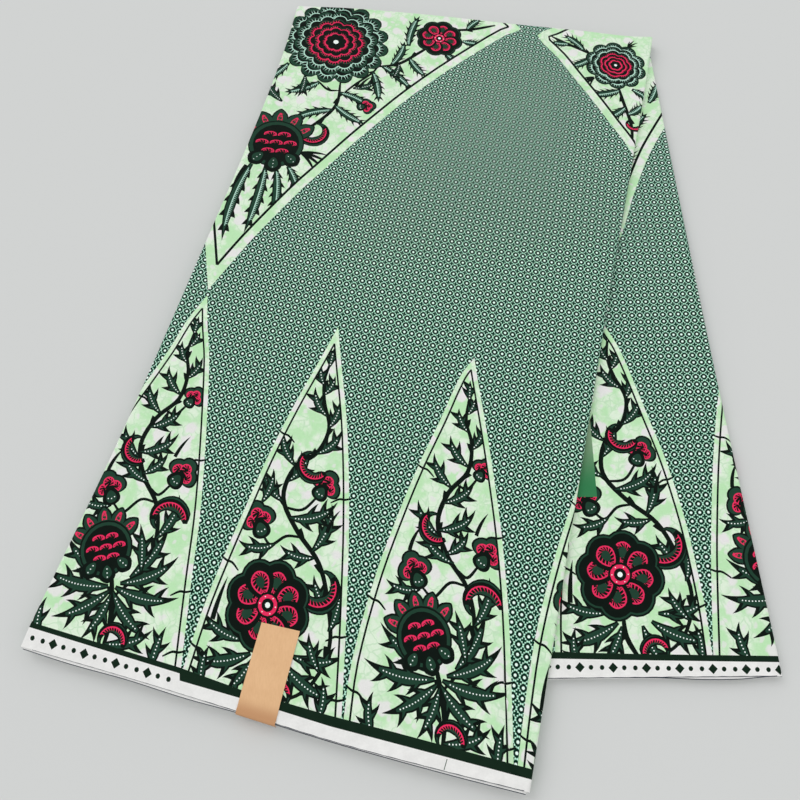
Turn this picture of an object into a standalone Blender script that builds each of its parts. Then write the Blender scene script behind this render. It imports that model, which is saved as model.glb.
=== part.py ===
"""A length of printed cotton, doubled at mid-width, pleated and laid flat.

The cloth is folded in half so that its two selvedges meet at the near end and
the mid-width fold lies at the far end.  It is then pleated lengthwise: the
front leaf is the broad stretch on top, and the side leaf fans out from under
its right fold.  The leaves below them share one solid, layered at its edges.

Frame: metres, +Z up, the cloth lies on z = 0.  +X runs to the right and +Y
runs from the selvedges to the mid-width fold.  The origin is at the middle of
the underside's bounding box.
"""

import math
from collections import namedtuple

import bmesh
import bpy
from mathutils import Vector

# Driving dimensions, in metres
WALL = 0.0010
GAP = 0.00034
FOLD_RADIUS = 0.0018
FOLD_SWEEP = math.radians(150.0)
FOLD_STEPS = 5
MESH_STEP = 0.017

# The side leaf runs on under the front leaf by this much
TUCK = 0.025

# Heights of the layers' lower faces
BASE_TOP = 0.0016
SIDE_UNDER_Z = 0.0032
SIDE_TOP_Z = SIDE_UNDER_Z + 2.0 * WALL + GAP
BLOCK_TOP = SIDE_TOP_Z + 0.0001
FRONT_UNDER_Z = 0.00714
FRONT_TOP_Z = FRONT_UNDER_Z + 2.0 * WALL + GAP

# Hidden layers keep this far inside a leaf's rolled fold
CORE_INSET = 0.0026

# The layers between the front leaf and the side leaf end this far from the front hem
CORE_END = 0.080

# A block of hidden layers is level from this far inside its edge
CAP_INSET = 0.014

# How far the blocks of hidden layers reach into each other
JOIN_DEPTH = 0.0005
BLOCK_SINK = 0.0002

# The free selvedges are thinner than the folds, so the stack sinks there
HEM_DROP = 0.0012
HEM_DROP_LENGTH = 0.012

# The paper label
LABEL_WIDTH = 0.0229
LABEL_LENGTH = 0.047
LABEL_PAPER = 0.0005
LABEL_TOP = Vector((-0.0686, -0.2262))
LABEL_RUN = Vector((-0.0110, -0.0492)).normalized()
LABEL_BEND = 0.0013
LABEL_FOOT_Z = 0.0026
LABEL_HEM_CLEARANCE = 0.0014
LABEL_STEPS = (0.0, 0.2, 0.4, 0.55, 0.68, 0.78, 0.86, 0.92, 0.97, 1.0)

# Sections of the front leaf, share 0 at the mid-width fold and 1 at the hem
FrontSection = namedtuple("FrontSection", "place left_x left_y right_x right_y")
FRONT_SECTIONS = (
    FrontSection(0.00, -0.0905, 0.3120, 0.2176, 0.2718),
    FrontSection(0.10, -0.0986, 0.2562, 0.2033, 0.2135),
    FrontSection(0.25, -0.1150, 0.1733, 0.1804, 0.1261),
    FrontSection(0.50, -0.1469, 0.0360, 0.1424, -0.0198),
    FrontSection(0.75, -0.1799, -0.1010, 0.1054, -0.1659),
    FrontSection(1.00, -0.2173, -0.2368, 0.0688, -0.3120),
)

# The side leaf's right fold
SideSection = namedtuple("SideSection", "place right_x right_y")
SIDE_SECTIONS = (
    SideSection(0.00, 0.2140, 0.2690),
    SideSection(0.35, 0.2137, 0.0900),
    SideSection(0.65, 0.2143, -0.0700),
    SideSection(1.00, 0.2170, -0.2526),
)
SIDE_HEM_LEFT_Y = -0.2540

# How far an edge reaches past a straight line, at places across the leaf
EdgeReach = namedtuple("EdgeReach", "place reach")
STRAIGHT = (EdgeReach(0.0, 0.0), EdgeReach(1.0, 0.0))
FRONT_FOLD_BOW = (
    EdgeReach(0.00, 0.0),
    EdgeReach(0.15, 0.0031),
    EdgeReach(0.36, 0.0035),
    EdgeReach(0.60, 0.0013),
    EdgeReach(0.80, 0.0004),
    EdgeReach(0.93, -0.0016),
    EdgeReach(1.00, 0.0),
)
FRONT_HEM = (
    EdgeReach(0.00, 0.0),
    EdgeReach(0.25, 0.0002),
    EdgeReach(0.45, 0.0010),
    EdgeReach(0.64, 0.0027),
    EdgeReach(0.82, 0.0017),
    EdgeReach(1.00, 0.0),
)
FRONT_UNDER_HEM = (
    EdgeReach(0.00, 0.0012),
    EdgeReach(0.10, 0.0034),
    EdgeReach(0.22, 0.0020),
    EdgeReach(0.34, 0.0026),
    EdgeReach(0.45, 0.0014),
    EdgeReach(0.64, 0.0024),
    EdgeReach(0.85, 0.0022),
    EdgeReach(1.00, 0.0004),
)
SIDE_UNDER_HEM = (
    EdgeReach(0.00, 0.0),
    EdgeReach(0.55, 0.0002),
    EdgeReach(0.72, 0.0014),
    EdgeReach(0.86, 0.0014),
    EdgeReach(0.95, 0.0003),
    EdgeReach(1.00, 0.0),
)
# The bow of the mid-width fold fades out over this share of the leaf
BOW_SHARE = 0.30
# The shape of the hem fades out above it as this power of the share
HEM_POWER = 8

# Soft swells over the whole stack, in waves per metre along X and Y
Swell = namedtuple("Swell", "height waves_x waves_y phase")
SWELLS = (
    Swell(0.00016, 4.6, 2.9, 0.6),
    Swell(0.00013, -2.4, 5.8, 1.9),
    Swell(0.00008, 7.9, -6.4, 3.4),
)

# Edge layers of the hidden stack, each a pair of hidden leaves
Layer = namedtuple("Layer", "foot head hem_inset")
BLOCK_MIDDLE = 0.0036
BASE_LAYERS = (Layer(0.0, BASE_TOP, 0.0004),)
BLOCK_LAYERS = (Layer(BASE_TOP, BLOCK_MIDDLE, 0.0010), Layer(BLOCK_MIDDLE, BLOCK_TOP, 0.0003))
LAYER_SIDE_INSET = 0.0005
LAYER_GROOVE = 0.75
LAYER_PROFILE_STEPS = 4

MINT = (0.56, 0.74, 0.56, 1.0)
GREEN = (0.19, 0.34, 0.26, 1.0)
SELVEDGE_WHITE = (0.83, 0.84, 0.81, 1.0)
KRAFT = (0.80, 0.55, 0.33, 1.0)


def clear_scene():
    for item in list(bpy.data.objects):
        bpy.data.objects.remove(item, do_unlink=True)


def cloth_material(name, colour, roughness):
    material = bpy.data.materials.new(name)
    material.use_nodes = True
    shader = material.node_tree.nodes["Principled BSDF"]
    shader.inputs["Base Color"].default_value = colour
    shader.inputs["Roughness"].default_value = roughness
    shader.inputs["Metallic"].default_value = 0.0
    return material


def table_value(rows, place, column):
    """Smooth curve through one named column of a table."""
    place = min(max(place, rows[0].place), rows[-1].place)
    last = len(rows) - 1
    index = next(i for i in range(last) if place <= rows[i + 1].place)
    near = (rows[max(index - 1, 0)], rows[index], rows[index + 1], rows[min(index + 2, last)])
    before, start, end, after = (getattr(row, column) for row in near)
    span = near[2].place - near[1].place
    slope_in = (end - before) / (near[2].place - near[0].place) * span
    slope_out = (after - start) / (near[3].place - near[1].place) * span
    u = (place - near[1].place) / span
    return ((2 * u**3 - 3 * u**2 + 1) * start + (u**3 - 2 * u**2 + u) * slope_in
            + (3 * u**2 - 2 * u**3) * end + (u**3 - u**2) * slope_out)


def front_edges(share):
    """Left and right ends of the front leaf's section."""
    left_x, left_y, right_x, right_y = (
        table_value(FRONT_SECTIONS, share, column) for column in ("left_x", "left_y", "right_x", "right_y"))
    return Vector((left_x, left_y)), Vector((right_x, right_y))


def front_right_x(y):
    """Where the front leaf's right fold crosses a line of equal y."""
    low, high = 0.0, 1.0
    for _ in range(40):
        middle = 0.5 * (low + high)
        if front_edges(middle)[1].y > y:
            low = middle
        else:
            high = middle
    return front_edges(low)[1].x


def side_edges(share):
    """Hidden left end and right end of the side leaf's section."""
    right = Vector((table_value(SIDE_SECTIONS, share, "right_x"), table_value(SIDE_SECTIONS, share, "right_y")))
    left_y = right.y + share * (SIDE_HEM_LEFT_Y - SIDE_SECTIONS[-1].right_y)
    return Vector((front_right_x(left_y) - TUCK, left_y)), right


def stack_lift(x, y, z):
    """Height of a point once the swells and the thin hem have moved its layer."""
    lift = sum(swell.height * math.sin(2.0 * math.pi * (x * swell.waves_x + y * swell.waves_y) + swell.phase)
               for swell in SWELLS)
    drop = 0.0
    for edges in (front_edges, side_edges):
        left, right = edges(1.0)
        along = (right - left).normalized()
        from_hem = (Vector((x, y)) - left).dot(Vector((-along.y, along.x)))
        beside = (Vector((x, y)) - left).dot(along) / (right - left).length
        if edges is side_edges and beside < 0.0:
            continue
        share = min(max(from_hem / HEM_DROP_LENGTH, 0.0), 1.0)
        drop = max(drop, HEM_DROP * (0.5 + 0.5 * math.cos(math.pi * share)))
    return z * (1.0 + (lift - drop) / FRONT_TOP_Z)


class Leaf:
    """One stretch of doubled cloth, as a patch between its two side edges."""

    def __init__(self, edges, hem, fold_bow):
        self.edges = edges
        self.hem = hem
        self.fold_bow = fold_bow
        self.top_middle = sum(edges(0.0), Vector((0.0, 0.0))) * 0.5
        hem_middle = sum(edges(1.0), Vector((0.0, 0.0))) * 0.5
        self.length = (self.top_middle - hem_middle).length
        self.up = (self.top_middle - hem_middle).normalized()

    def plan(self, across, share, left_inset=0.0, right_inset=0.0):
        """Plan point of the leaf, with its side edges moved in."""
        left, right = self.edges(share)
        along = (right - left).normalized()
        left = left + along * left_inset
        right = right - along * right_inset
        point = left.lerp(right, across)
        bow = table_value(self.fold_bow, across, "reach") * max(0.0, 1.0 - share / BOW_SHARE)**2
        reach = table_value(self.hem, across, "reach") * share**HEM_POWER
        return point + self.up * (bow - reach), along


def shares(count):
    return [i / count for i in range(count + 1)]


def share_rows(leaf, top_inset):
    """Places of the rows from the far fold to the hem, close together at the hem."""
    near_hem = [0.0, 0.002, 0.0045, 0.0075, 0.0115]
    hem_rows = [1.0 - reach / leaf.length for reach in reversed(near_hem)]
    start = top_inset / leaf.length
    steps = round((hem_rows[0] - start) * leaf.length / MESH_STEP)
    body = [start + (hem_rows[0] - start) * share for share in shares(steps)]
    return body + hem_rows[1:]


def grid_object(name, rows, material, wall):
    """A sheet through rows of points, thickened downwards into a wall."""
    shape = bmesh.new()
    grid = [[shape.verts.new(point) for point in row] for row in rows]
    for upper, lower in zip(grid, grid[1:]):
        for k in range(len(upper) - 1):
            shape.faces.new((upper[k], lower[k], lower[k + 1], upper[k + 1]))
    mesh = bpy.data.meshes.new(name)
    shape.to_mesh(mesh)
    shape.free()
    mesh.shade_smooth()
    sheet = bpy.data.objects.new(name, mesh)
    bpy.context.collection.objects.link(sheet)
    mesh.materials.append(material)
    thickness = sheet.modifiers.new("wall", "SOLIDIFY")
    thickness.thickness = wall
    thickness.offset = -1.0
    thickness.use_even_offset = True
    return sheet


def roll_place(index):
    """Outward reach and drop of a point on the fold, index steps round it."""
    angle = FOLD_SWEEP * index / FOLD_STEPS
    return FOLD_RADIUS * math.sin(angle), FOLD_RADIUS * (1.0 - math.cos(angle))


def fold_direction(side_steps, top_steps, side, up):
    """Direction in plan of a rolled point, turning round the leaf's corner."""
    if top_steps == 0:
        return side
    if side_steps == 0:
        return up
    if side_steps >= top_steps:
        angle = math.radians(45.0) * top_steps / side_steps
    else:
        angle = math.radians(90.0) - math.radians(45.0) * side_steps / top_steps
    return (side * math.cos(angle) + up * math.sin(angle)).normalized()


def rolled_leaf(name, leaf, foot_z, material, left_rolls):
    """A leaf's upper stretch: flat panel, rolled under at its folds, open at the hem."""
    left_inset = FOLD_RADIUS if left_rolls else 0.0
    left, right = leaf.edges(0.5)
    columns = shares(round((right - left).length / MESH_STEP))
    body_rows = share_rows(leaf, FOLD_RADIUS)
    top_z = foot_z + WALL
    left_steps = FOLD_STEPS if left_rolls else 0
    rows = []
    for row in range(-FOLD_STEPS, len(body_rows)):
        top_steps = max(-row, 0)
        share = body_rows[max(row, 0)]
        points = []
        for column in range(-left_steps, len(columns) + FOLD_STEPS):
            across = columns[min(max(column, 0), len(columns) - 1)]
            side_steps = max(-column, column - len(columns) + 1, 0)
            place, along = leaf.plan(across, share, left_inset, FOLD_RADIUS)
            reach, drop = roll_place(max(side_steps, top_steps))
            outward = along if column > 0 else -along
            place = place + fold_direction(side_steps, top_steps, outward, leaf.up) * reach
            points.append((place.x, place.y, stack_lift(place.x, place.y, top_z - drop)))
        rows.append(points)
    return grid_object(name, rows, material, WALL)


def under_leaf(name, leaf, foot_z, material, left_inset):
    """The doubled half of a leaf, a flat panel inside the rolled folds."""
    inset = FOLD_RADIUS + GAP
    left, right = leaf.edges(0.5)
    columns = shares(round((right - left).length / MESH_STEP))
    rows = []
    for share in share_rows(leaf, inset):
        points = []
        for across in columns:
            place, _ = leaf.plan(across, share, left_inset, inset)
            points.append((place.x, place.y, stack_lift(place.x, place.y, foot_z + WALL)))
        rows.append(points)
    return grid_object(name, rows, material, WALL)


def leaf_outline(leaf, left_inset, right_inset, top_inset, hem_inset):
    """Plan outline of a leaf, drawn in at each edge, anticlockwise from the hem's left end."""
    start = top_inset / leaf.length
    end = 1.0 - hem_inset / leaf.length
    left, right = leaf.edges(0.5)
    across_steps = round((right - left).length / (2.0 * MESH_STEP))
    down_steps = round(leaf.length / (2.0 * MESH_STEP))

    def edge(places):
        return [leaf.plan(across, share, left_inset, right_inset)[0] for across, share in places][:-1]

    hem = edge([(step, end) for step in shares(across_steps)])
    right_side = edge([(1.0, end + (start - end) * step) for step in shares(down_steps)])
    far_fold = edge([(1.0 - step, start) for step in shares(across_steps)])
    left_side = edge([(0.0, start + (end - start) * step) for step in shares(down_steps)])
    return hem + right_side + far_fold + left_side


def layer_rings(layers):
    """Depth of groove and height at each ring of a layered edge."""
    rings = []
    for layer in layers:
        depth = layer.head - layer.foot
        for step in shares(LAYER_PROFILE_STEPS):
            height = (2.0 * step - 1.0) * LAYER_GROOVE
            groove = 0.5 * depth * (1.0 - math.sqrt(1.0 - height**2))
            rings.append((groove, layer.foot + step * depth, layer.hem_inset))
    return rings


def stacked_block(name, rings, material):
    """A closed solid lofted through equal rings of points, lowest ring first."""
    shape = bmesh.new()
    loops = [[shape.verts.new(point) for point in ring] for ring in rings]
    for lower, upper in zip(loops, loops[1:]):
        for k in range(len(lower)):
            after = (k + 1) % len(lower)
            shape.faces.new((lower[k], lower[after], upper[after], upper[k]))
    shape.faces.new(list(reversed(loops[0])))
    shape.faces.new(loops[-1])
    bmesh.ops.triangulate(shape, faces=shape.faces[:])
    mesh = bpy.data.meshes.new(name)
    shape.to_mesh(mesh)
    shape.free()
    mesh.materials.append(material)
    block = bpy.data.objects.new(name, mesh)
    bpy.context.collection.objects.link(block)
    return block


def flat_ring(leaf, left_inset, right_inset, top_inset, hem_inset, height):
    """A level ring of points inside a leaf."""
    outline = leaf_outline(leaf, left_inset, right_inset, top_inset, hem_inset)
    return [(p.x, p.y, height) for p in outline]


def layered_block(name, leaf, layers, left_inset, right_inset, sink, material):
    """Hidden leaves of one stretch, with a rounded fold for each at the edge."""
    rings = []
    for groove, height, hem_inset in layer_rings(layers):
        side = LAYER_SIDE_INSET + groove
        outline = leaf_outline(leaf, left_inset + side, right_inset + side, side, hem_inset + groove)
        rings.append([(p.x, p.y, stack_lift(p.x, p.y, max(height - sink, 0.0))) for p in outline])
    foot, head = max(layers[0].foot - sink, 0.0), layers[-1].head - sink
    insets = (left_inset + CAP_INSET, right_inset + CAP_INSET, CAP_INSET, CAP_INSET)
    return stacked_block(name, [flat_ring(leaf, *insets, foot)] + rings + [flat_ring(leaf, *insets, head)], material)


def core_block(name, leaf, heights, left_inset, right_inset, hem_inset, material):
    """Hidden leaves that fill a leaf's inside, level at top and bottom, clear of its folds and thin hem."""
    rings = [flat_ring(leaf, left_inset, right_inset, CORE_INSET, hem_inset, height) for height in heights]
    return stacked_block(name, rings, material)


def hidden_layers(front, side, material):
    """The leaves under the two that show, joined into one solid."""
    swell = sum(swell.height for swell in SWELLS) / FRONT_TOP_Z
    hidden_right = TUCK + 4.0 * GAP
    joined_foot = BASE_TOP - JOIN_DEPTH
    side_head = SIDE_UNDER_Z * (1.0 - swell) - GAP
    front_foot = SIDE_TOP_Z * (1.0 + swell) + GAP
    front_head = FRONT_UNDER_Z * (1.0 - swell) - GAP
    body = layered_block("hidden_layers", front, BASE_LAYERS, 0.0, 0.0, 0.0, material)
    parts = (
        layered_block("side_base", side, BASE_LAYERS, 0.0, 0.0, BLOCK_SINK, material),
        core_block("side_core", side, (joined_foot, side_head), CORE_INSET, CORE_INSET, HEM_DROP_LENGTH, material),
        layered_block("front_block", front, BLOCK_LAYERS, 0.0, hidden_right, BLOCK_SINK, material),
        core_block("front_fill", front, (joined_foot, front_foot + BLOCK_SINK), 2.0 * CORE_INSET,
                   hidden_right + CORE_INSET, HEM_DROP_LENGTH, material),
        core_block("front_core", front, (front_foot, front_head), CORE_INSET, CORE_INSET, CORE_END, material),
    )
    for piece in parts:
        piece.hide_render = True
        piece.display_type = "WIRE"
        join = body.modifiers.new(piece.name, "BOOLEAN")
        join.operation = "UNION"
        join.solver = "EXACT"
        join.object = piece
    return body


def paper_label(front, material):
    """A paper label lying on the front leaf and turned down over its hem."""
    across_run = Vector((-LABEL_RUN.y, LABEL_RUN.x))
    hem_left, hem_right = front.edges(1.0)
    hem_along = (hem_right - hem_left).normalized()
    hem_out = Vector((hem_along.y, -hem_along.x))
    paper_z = FRONT_TOP_Z + GAP + LABEL_PAPER
    rows = []
    turns = shares(4)
    for column in reversed(shares(3)):
        start = LABEL_TOP + across_run * (column - 0.5) * LABEL_WIDTH
        across = (start + LABEL_RUN * LABEL_LENGTH - hem_left).dot(hem_along) / (hem_right - hem_left).length
        hem_reach = table_value(FRONT_HEM, across, "reach") + LABEL_HEM_CLEARANCE
        to_hem = (hem_left + hem_out * hem_reach - start).dot(hem_out) / LABEL_RUN.dot(hem_out)
        flat = to_hem - LABEL_BEND
        points = []
        for step in LABEL_STEPS:
            place = start + LABEL_RUN * flat * step
            points.append((place.x, place.y, stack_lift(place.x, place.y, paper_z)))
        edge_z = points[-1][2]
        for turn in turns[1:]:
            angle = math.radians(90.0) * turn
            place = start + LABEL_RUN * (flat + LABEL_BEND * math.sin(angle))
            points.append((place.x, place.y, edge_z - LABEL_BEND * (1.0 - math.cos(angle))))
        points.append((points[-1][0], points[-1][1], LABEL_FOOT_Z))
        rows.append(points)
    return grid_object("label", rows, material, LABEL_PAPER)


def build():
    clear_scene()
    printed = cloth_material("printed_cotton", GREEN, 0.72)
    printed_side = cloth_material("printed_cotton_side", MINT, 0.72)
    bare = cloth_material("selvedge_cotton", SELVEDGE_WHITE, 0.78)
    paper = cloth_material("kraft_paper", KRAFT, 0.66)

    front = Leaf(front_edges, FRONT_HEM, FRONT_FOLD_BOW)
    front_under = Leaf(front_edges, FRONT_UNDER_HEM, FRONT_FOLD_BOW)
    side = Leaf(side_edges, STRAIGHT, STRAIGHT)
    side_under = Leaf(side_edges, SIDE_UNDER_HEM, STRAIGHT)

    rolled_leaf("front_leaf", front, FRONT_TOP_Z - WALL, printed, True)
    under_leaf("front_leaf_under", front_under, FRONT_UNDER_Z, bare, FOLD_RADIUS + GAP)
    rolled_leaf("side_leaf", side, SIDE_TOP_Z - WALL, printed_side, False)
    under_leaf("side_leaf_under", side_under, SIDE_UNDER_Z, bare, 0.0)
    hidden_layers(front, side, bare)
    paper_label(front, paper)


build()
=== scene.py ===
"""Looks of a length of printed cotton, doubled, pleated and laid flat.

Two stretches of the print show: the broad front leaf on top, and the side leaf
that fans out from under its right fold.  Each is a thin printed sheet, rolled
under at its folds, over the bare doubled half that shows beyond its hem.
"""

import math
from collections import namedtuple

import bpy
import numpy as np
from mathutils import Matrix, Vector
from mathutils.geometry import delaunay_2d_cdt


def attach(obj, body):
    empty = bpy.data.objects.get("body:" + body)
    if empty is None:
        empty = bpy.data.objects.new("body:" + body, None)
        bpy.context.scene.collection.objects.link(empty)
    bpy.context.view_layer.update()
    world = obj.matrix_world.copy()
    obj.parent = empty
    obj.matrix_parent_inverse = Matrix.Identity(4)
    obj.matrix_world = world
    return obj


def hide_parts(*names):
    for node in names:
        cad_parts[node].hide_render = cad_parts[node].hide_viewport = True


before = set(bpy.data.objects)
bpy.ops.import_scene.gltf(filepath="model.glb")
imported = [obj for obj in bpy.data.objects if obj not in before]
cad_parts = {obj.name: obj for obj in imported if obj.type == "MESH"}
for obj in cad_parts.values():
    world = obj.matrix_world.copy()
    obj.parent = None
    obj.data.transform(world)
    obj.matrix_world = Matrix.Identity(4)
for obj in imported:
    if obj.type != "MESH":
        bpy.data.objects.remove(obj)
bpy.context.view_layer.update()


# Camera.  It stands beyond the hem, above the middle of the cloth, and looks down
# at it steeply, as one photographs a folded length on a table.
CAMERA_PLACE = (0.0, -0.3194, 0.47948)
CAMERA_TILT = 27.06
CAMERA_SENSOR = 36.0
CAMERA_LENS = 36.0

camera_data = bpy.data.cameras.new("camera")
camera_data.sensor_width = CAMERA_SENSOR
camera_data.lens = CAMERA_LENS
camera_data.clip_start = 0.01
camera = bpy.data.objects.new("camera", camera_data)
camera.location = CAMERA_PLACE
camera.rotation_euler = (math.radians(CAMERA_TILT), 0.0, 0.0)
bpy.context.collection.objects.link(camera)
bpy.context.scene.camera = camera
bpy.context.scene.view_settings.view_transform = "Standard"


# Floor and light.  A plain pale grey table under an even studio tent, with one
# wide soft lamp on the left that brings out the folds.
FLOOR_SIZE = 8.0
FLOOR_GREY = (0.652, 0.665, 0.658, 1.0)
TENT_STRENGTH = 0.86
LAMP_PLACE = (-1.1, 0.9, 1.3)
LAMP_SPREAD = math.radians(40.0)
LAMP_POWER = 0.55

bpy.ops.object.select_all(action="DESELECT")
bpy.ops.mesh.primitive_plane_add(size=FLOOR_SIZE)
floor = bpy.context.active_object
floor.name = "floor"
floor_paper = bpy.data.materials.new("table_paper")
floor_paper.use_nodes = True
paper_shader = floor_paper.node_tree.nodes["Principled BSDF"]
paper_shader.inputs["Base Color"].default_value = FLOOR_GREY
paper_shader.inputs["Roughness"].default_value = 0.9
paper_shader.inputs["Specular IOR Level"].default_value = 0.0
floor.data.materials.append(floor_paper)

tent = bpy.data.worlds.new("tent")
tent.use_nodes = True
tent.node_tree.nodes["Background"].inputs["Color"].default_value = (1.0, 1.0, 1.0, 1.0)
tent.node_tree.nodes["Background"].inputs["Strength"].default_value = TENT_STRENGTH
bpy.context.scene.world = tent

lamp_data = bpy.data.lights.new("lamp", "SUN")
lamp_data.angle = LAMP_SPREAD
lamp_data.energy = LAMP_POWER
lamp = bpy.data.objects.new("lamp", lamp_data)
lamp.location = LAMP_PLACE
lamp.rotation_euler = (-Vector(LAMP_PLACE)).to_track_quat("-Z", "Y").to_euler()
bpy.context.collection.objects.link(lamp)


# Front leaf.  The broad stretch on top: one thickness of plain-woven cotton, printed
# on its face, creased sharply at the mid-width fold and rolled under at both side
# folds, with its printed selvedge left raw at the hem.
CLOTH = 0.0005
FOLD_RADIUS = 0.0018
FOLD_SWEEP = math.radians(150.0)
FOLD_ROWS = 8
TUCK = 0.025
SIDE_UNDER_Z = 0.0032
CAD_WALL = 0.0010
GAP = 0.00034
SIDE_TOP_Z = SIDE_UNDER_Z + 2.0 * CAD_WALL + GAP
FRONT_UNDER_Z = 0.00714
FRONT_TOP_Z = FRONT_UNDER_Z + 2.0 * CAD_WALL + GAP
HEM_DROP = 0.0012
HEM_DROP_LENGTH = 0.012
EDGE_STEP = 0.006
GRID_STEP = 0.009
LEAF_WIDTH = 0.3
CORNER_STEPS = 8
CREASE_ANGLE = math.radians(50.0)

# Sections of the front leaf, place 0 at the mid-width fold and 1 at the hem
FrontSection = namedtuple("FrontSection", "place left_x left_y right_x right_y")
FRONT_SECTIONS = (
    FrontSection(0.00, -0.0905, 0.3120, 0.2176, 0.2718),
    FrontSection(0.10, -0.0986, 0.2562, 0.2033, 0.2135),
    FrontSection(0.25, -0.1150, 0.1733, 0.1804, 0.1261),
    FrontSection(0.50, -0.1469, 0.0360, 0.1424, -0.0198),
    FrontSection(0.75, -0.1799, -0.1010, 0.1054, -0.1659),
    FrontSection(1.00, -0.2173, -0.2368, 0.0688, -0.3120),
)
# The side leaf's right fold
SideSection = namedtuple("SideSection", "place right_x right_y")
SIDE_SECTIONS = (
    SideSection(0.00, 0.2140, 0.2690),
    SideSection(0.35, 0.2137, 0.0900),
    SideSection(0.65, 0.2143, -0.0700),
    SideSection(1.00, 0.2170, -0.2526),
)
SIDE_HEM_LEFT_Y = -0.2540

# How far an edge reaches past a straight line, at places across the leaf
EdgeReach = namedtuple("EdgeReach", "place reach")
STRAIGHT = (EdgeReach(0.0, 0.0), EdgeReach(1.0, 0.0))
FRONT_FOLD_BOW = (
    EdgeReach(0.00, 0.0),
    EdgeReach(0.15, 0.0031),
    EdgeReach(0.36, 0.0035),
    EdgeReach(0.60, 0.0013),
    EdgeReach(0.80, 0.0004),
    EdgeReach(0.93, -0.0016),
    EdgeReach(1.00, 0.0),
)
FRONT_HEM = (
    EdgeReach(0.00, 0.0),
    EdgeReach(0.25, 0.0003),
    EdgeReach(0.45, 0.0014),
    EdgeReach(0.64, 0.0026),
    EdgeReach(0.82, 0.0017),
    EdgeReach(1.00, 0.0),
)
BOW_SHARE = 0.30
HEM_POWER = 8

# Soft swells over the whole stack, in waves per metre along X and Y
Swell = namedtuple("Swell", "height waves_x waves_y phase")
SWELLS = (
    Swell(0.00016, 4.6, 2.9, 0.6),
    Swell(0.00013, -2.4, 5.8, 1.9),
    Swell(0.00008, 7.9, -6.4, 3.4),
)


def table_value(rows, place, column):
    """Smooth curve through one named column of a table."""
    place = min(max(place, rows[0].place), rows[-1].place)
    last = len(rows) - 1
    index = next(i for i in range(last) if place <= rows[i + 1].place)
    near = (rows[max(index - 1, 0)], rows[index], rows[index + 1], rows[min(index + 2, last)])
    before, start, end, after = (getattr(row, column) for row in near)
    span = near[2].place - near[1].place
    slope_in = (end - before) / (near[2].place - near[0].place) * span
    slope_out = (after - start) / (near[3].place - near[1].place) * span
    u = (place - near[1].place) / span
    return ((2 * u**3 - 3 * u**2 + 1) * start + (u**3 - 2 * u**2 + u) * slope_in
            + (3 * u**2 - 2 * u**3) * end + (u**3 - u**2) * slope_out)


def shares(count):
    return [i / count for i in range(count + 1)]


def section_end(rows, share, end):
    """The left or right end of a leaf's section."""
    return Vector((table_value(rows, share, end + "_x"), table_value(rows, share, end + "_y")))


def front_edges(share):
    return section_end(FRONT_SECTIONS, share, "left"), section_end(FRONT_SECTIONS, share, "right")


def front_right_x(y):
    """Where the front leaf's right fold crosses a line of equal y."""
    low, high = 0.0, 1.0
    for halving in range(40):
        middle = 0.5 * (low + high)
        if front_edges(middle)[1].y > y:
            low = middle
        else:
            high = middle
    return front_edges(low)[1].x


def side_edges(share):
    """Hidden left end and right end of the side leaf's section."""
    right = section_end(SIDE_SECTIONS, share, "right")
    left_y = right.y + share * (SIDE_HEM_LEFT_Y - SIDE_SECTIONS[-1].right_y)
    return Vector((front_right_x(left_y) - TUCK, left_y)), right


def stack_lift(places, heights):
    """Heights of points once the swells and the thin hems have moved their layer."""
    x, y = places[:, 0], places[:, 1]
    lift = sum(swell.height * np.sin(2.0 * math.pi * (x * swell.waves_x + y * swell.waves_y) + swell.phase)
               for swell in SWELLS)
    drop = np.zeros(len(places))
    for edges in (front_edges, side_edges):
        left, right = edges(1.0)
        along = (right - left).normalized()
        from_hem = (x - left.x) * -along.y + (y - left.y) * along.x
        beside = (x - left.x) * along.x + (y - left.y) * along.y
        share = np.clip(from_hem / HEM_DROP_LENGTH, 0.0, 1.0)
        here = HEM_DROP * (0.5 + 0.5 * np.cos(math.pi * share))
        drop = np.maximum(drop, np.where((edges is side_edges) & (beside < 0.0), 0.0, here))
    return heights * (1.0 + (lift - drop) / FRONT_TOP_Z)


class Leaf:
    """One stretch of doubled cloth, as a patch between its two side edges."""

    def __init__(self, edges, hem, fold_bow):
        self.edges = edges
        self.hem = hem
        self.fold_bow = fold_bow
        top_middle = sum(edges(0.0), Vector((0.0, 0.0))) * 0.5
        hem_middle = sum(edges(1.0), Vector((0.0, 0.0))) * 0.5
        self.length = (top_middle - hem_middle).length
        self.up = (top_middle - hem_middle).normalized()

    def plan(self, across, share, left_inset=0.0, right_inset=0.0):
        """Plan point of the leaf, with its side edges moved in."""
        left, right = self.edges(share)
        along = (right - left).normalized()
        left = left + along * left_inset
        right = right - along * right_inset
        point = left.lerp(right, across)
        bow = table_value(self.fold_bow, across, "reach") * max(0.0, 1.0 - share / BOW_SHARE)**2
        reach = table_value(self.hem, across, "reach") * share**HEM_POWER
        return point + self.up * (bow - reach), along


def turns_round(points, outline):
    """How often a closed outline runs round each point."""
    x, y = points[:, 0], points[:, 1]
    turns = np.zeros(len(points), int)
    for (ax, ay), (bx, by) in zip(outline, np.roll(outline, -1, axis=0)):
        left_of = (bx - ax) * (y - ay) - (x - ax) * (by - ay)
        turns += (ay <= y) & (by > y) & (left_of > 0.0)
        turns -= (by <= y) & (ay > y) & (left_of < 0.0)
    return turns


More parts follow.
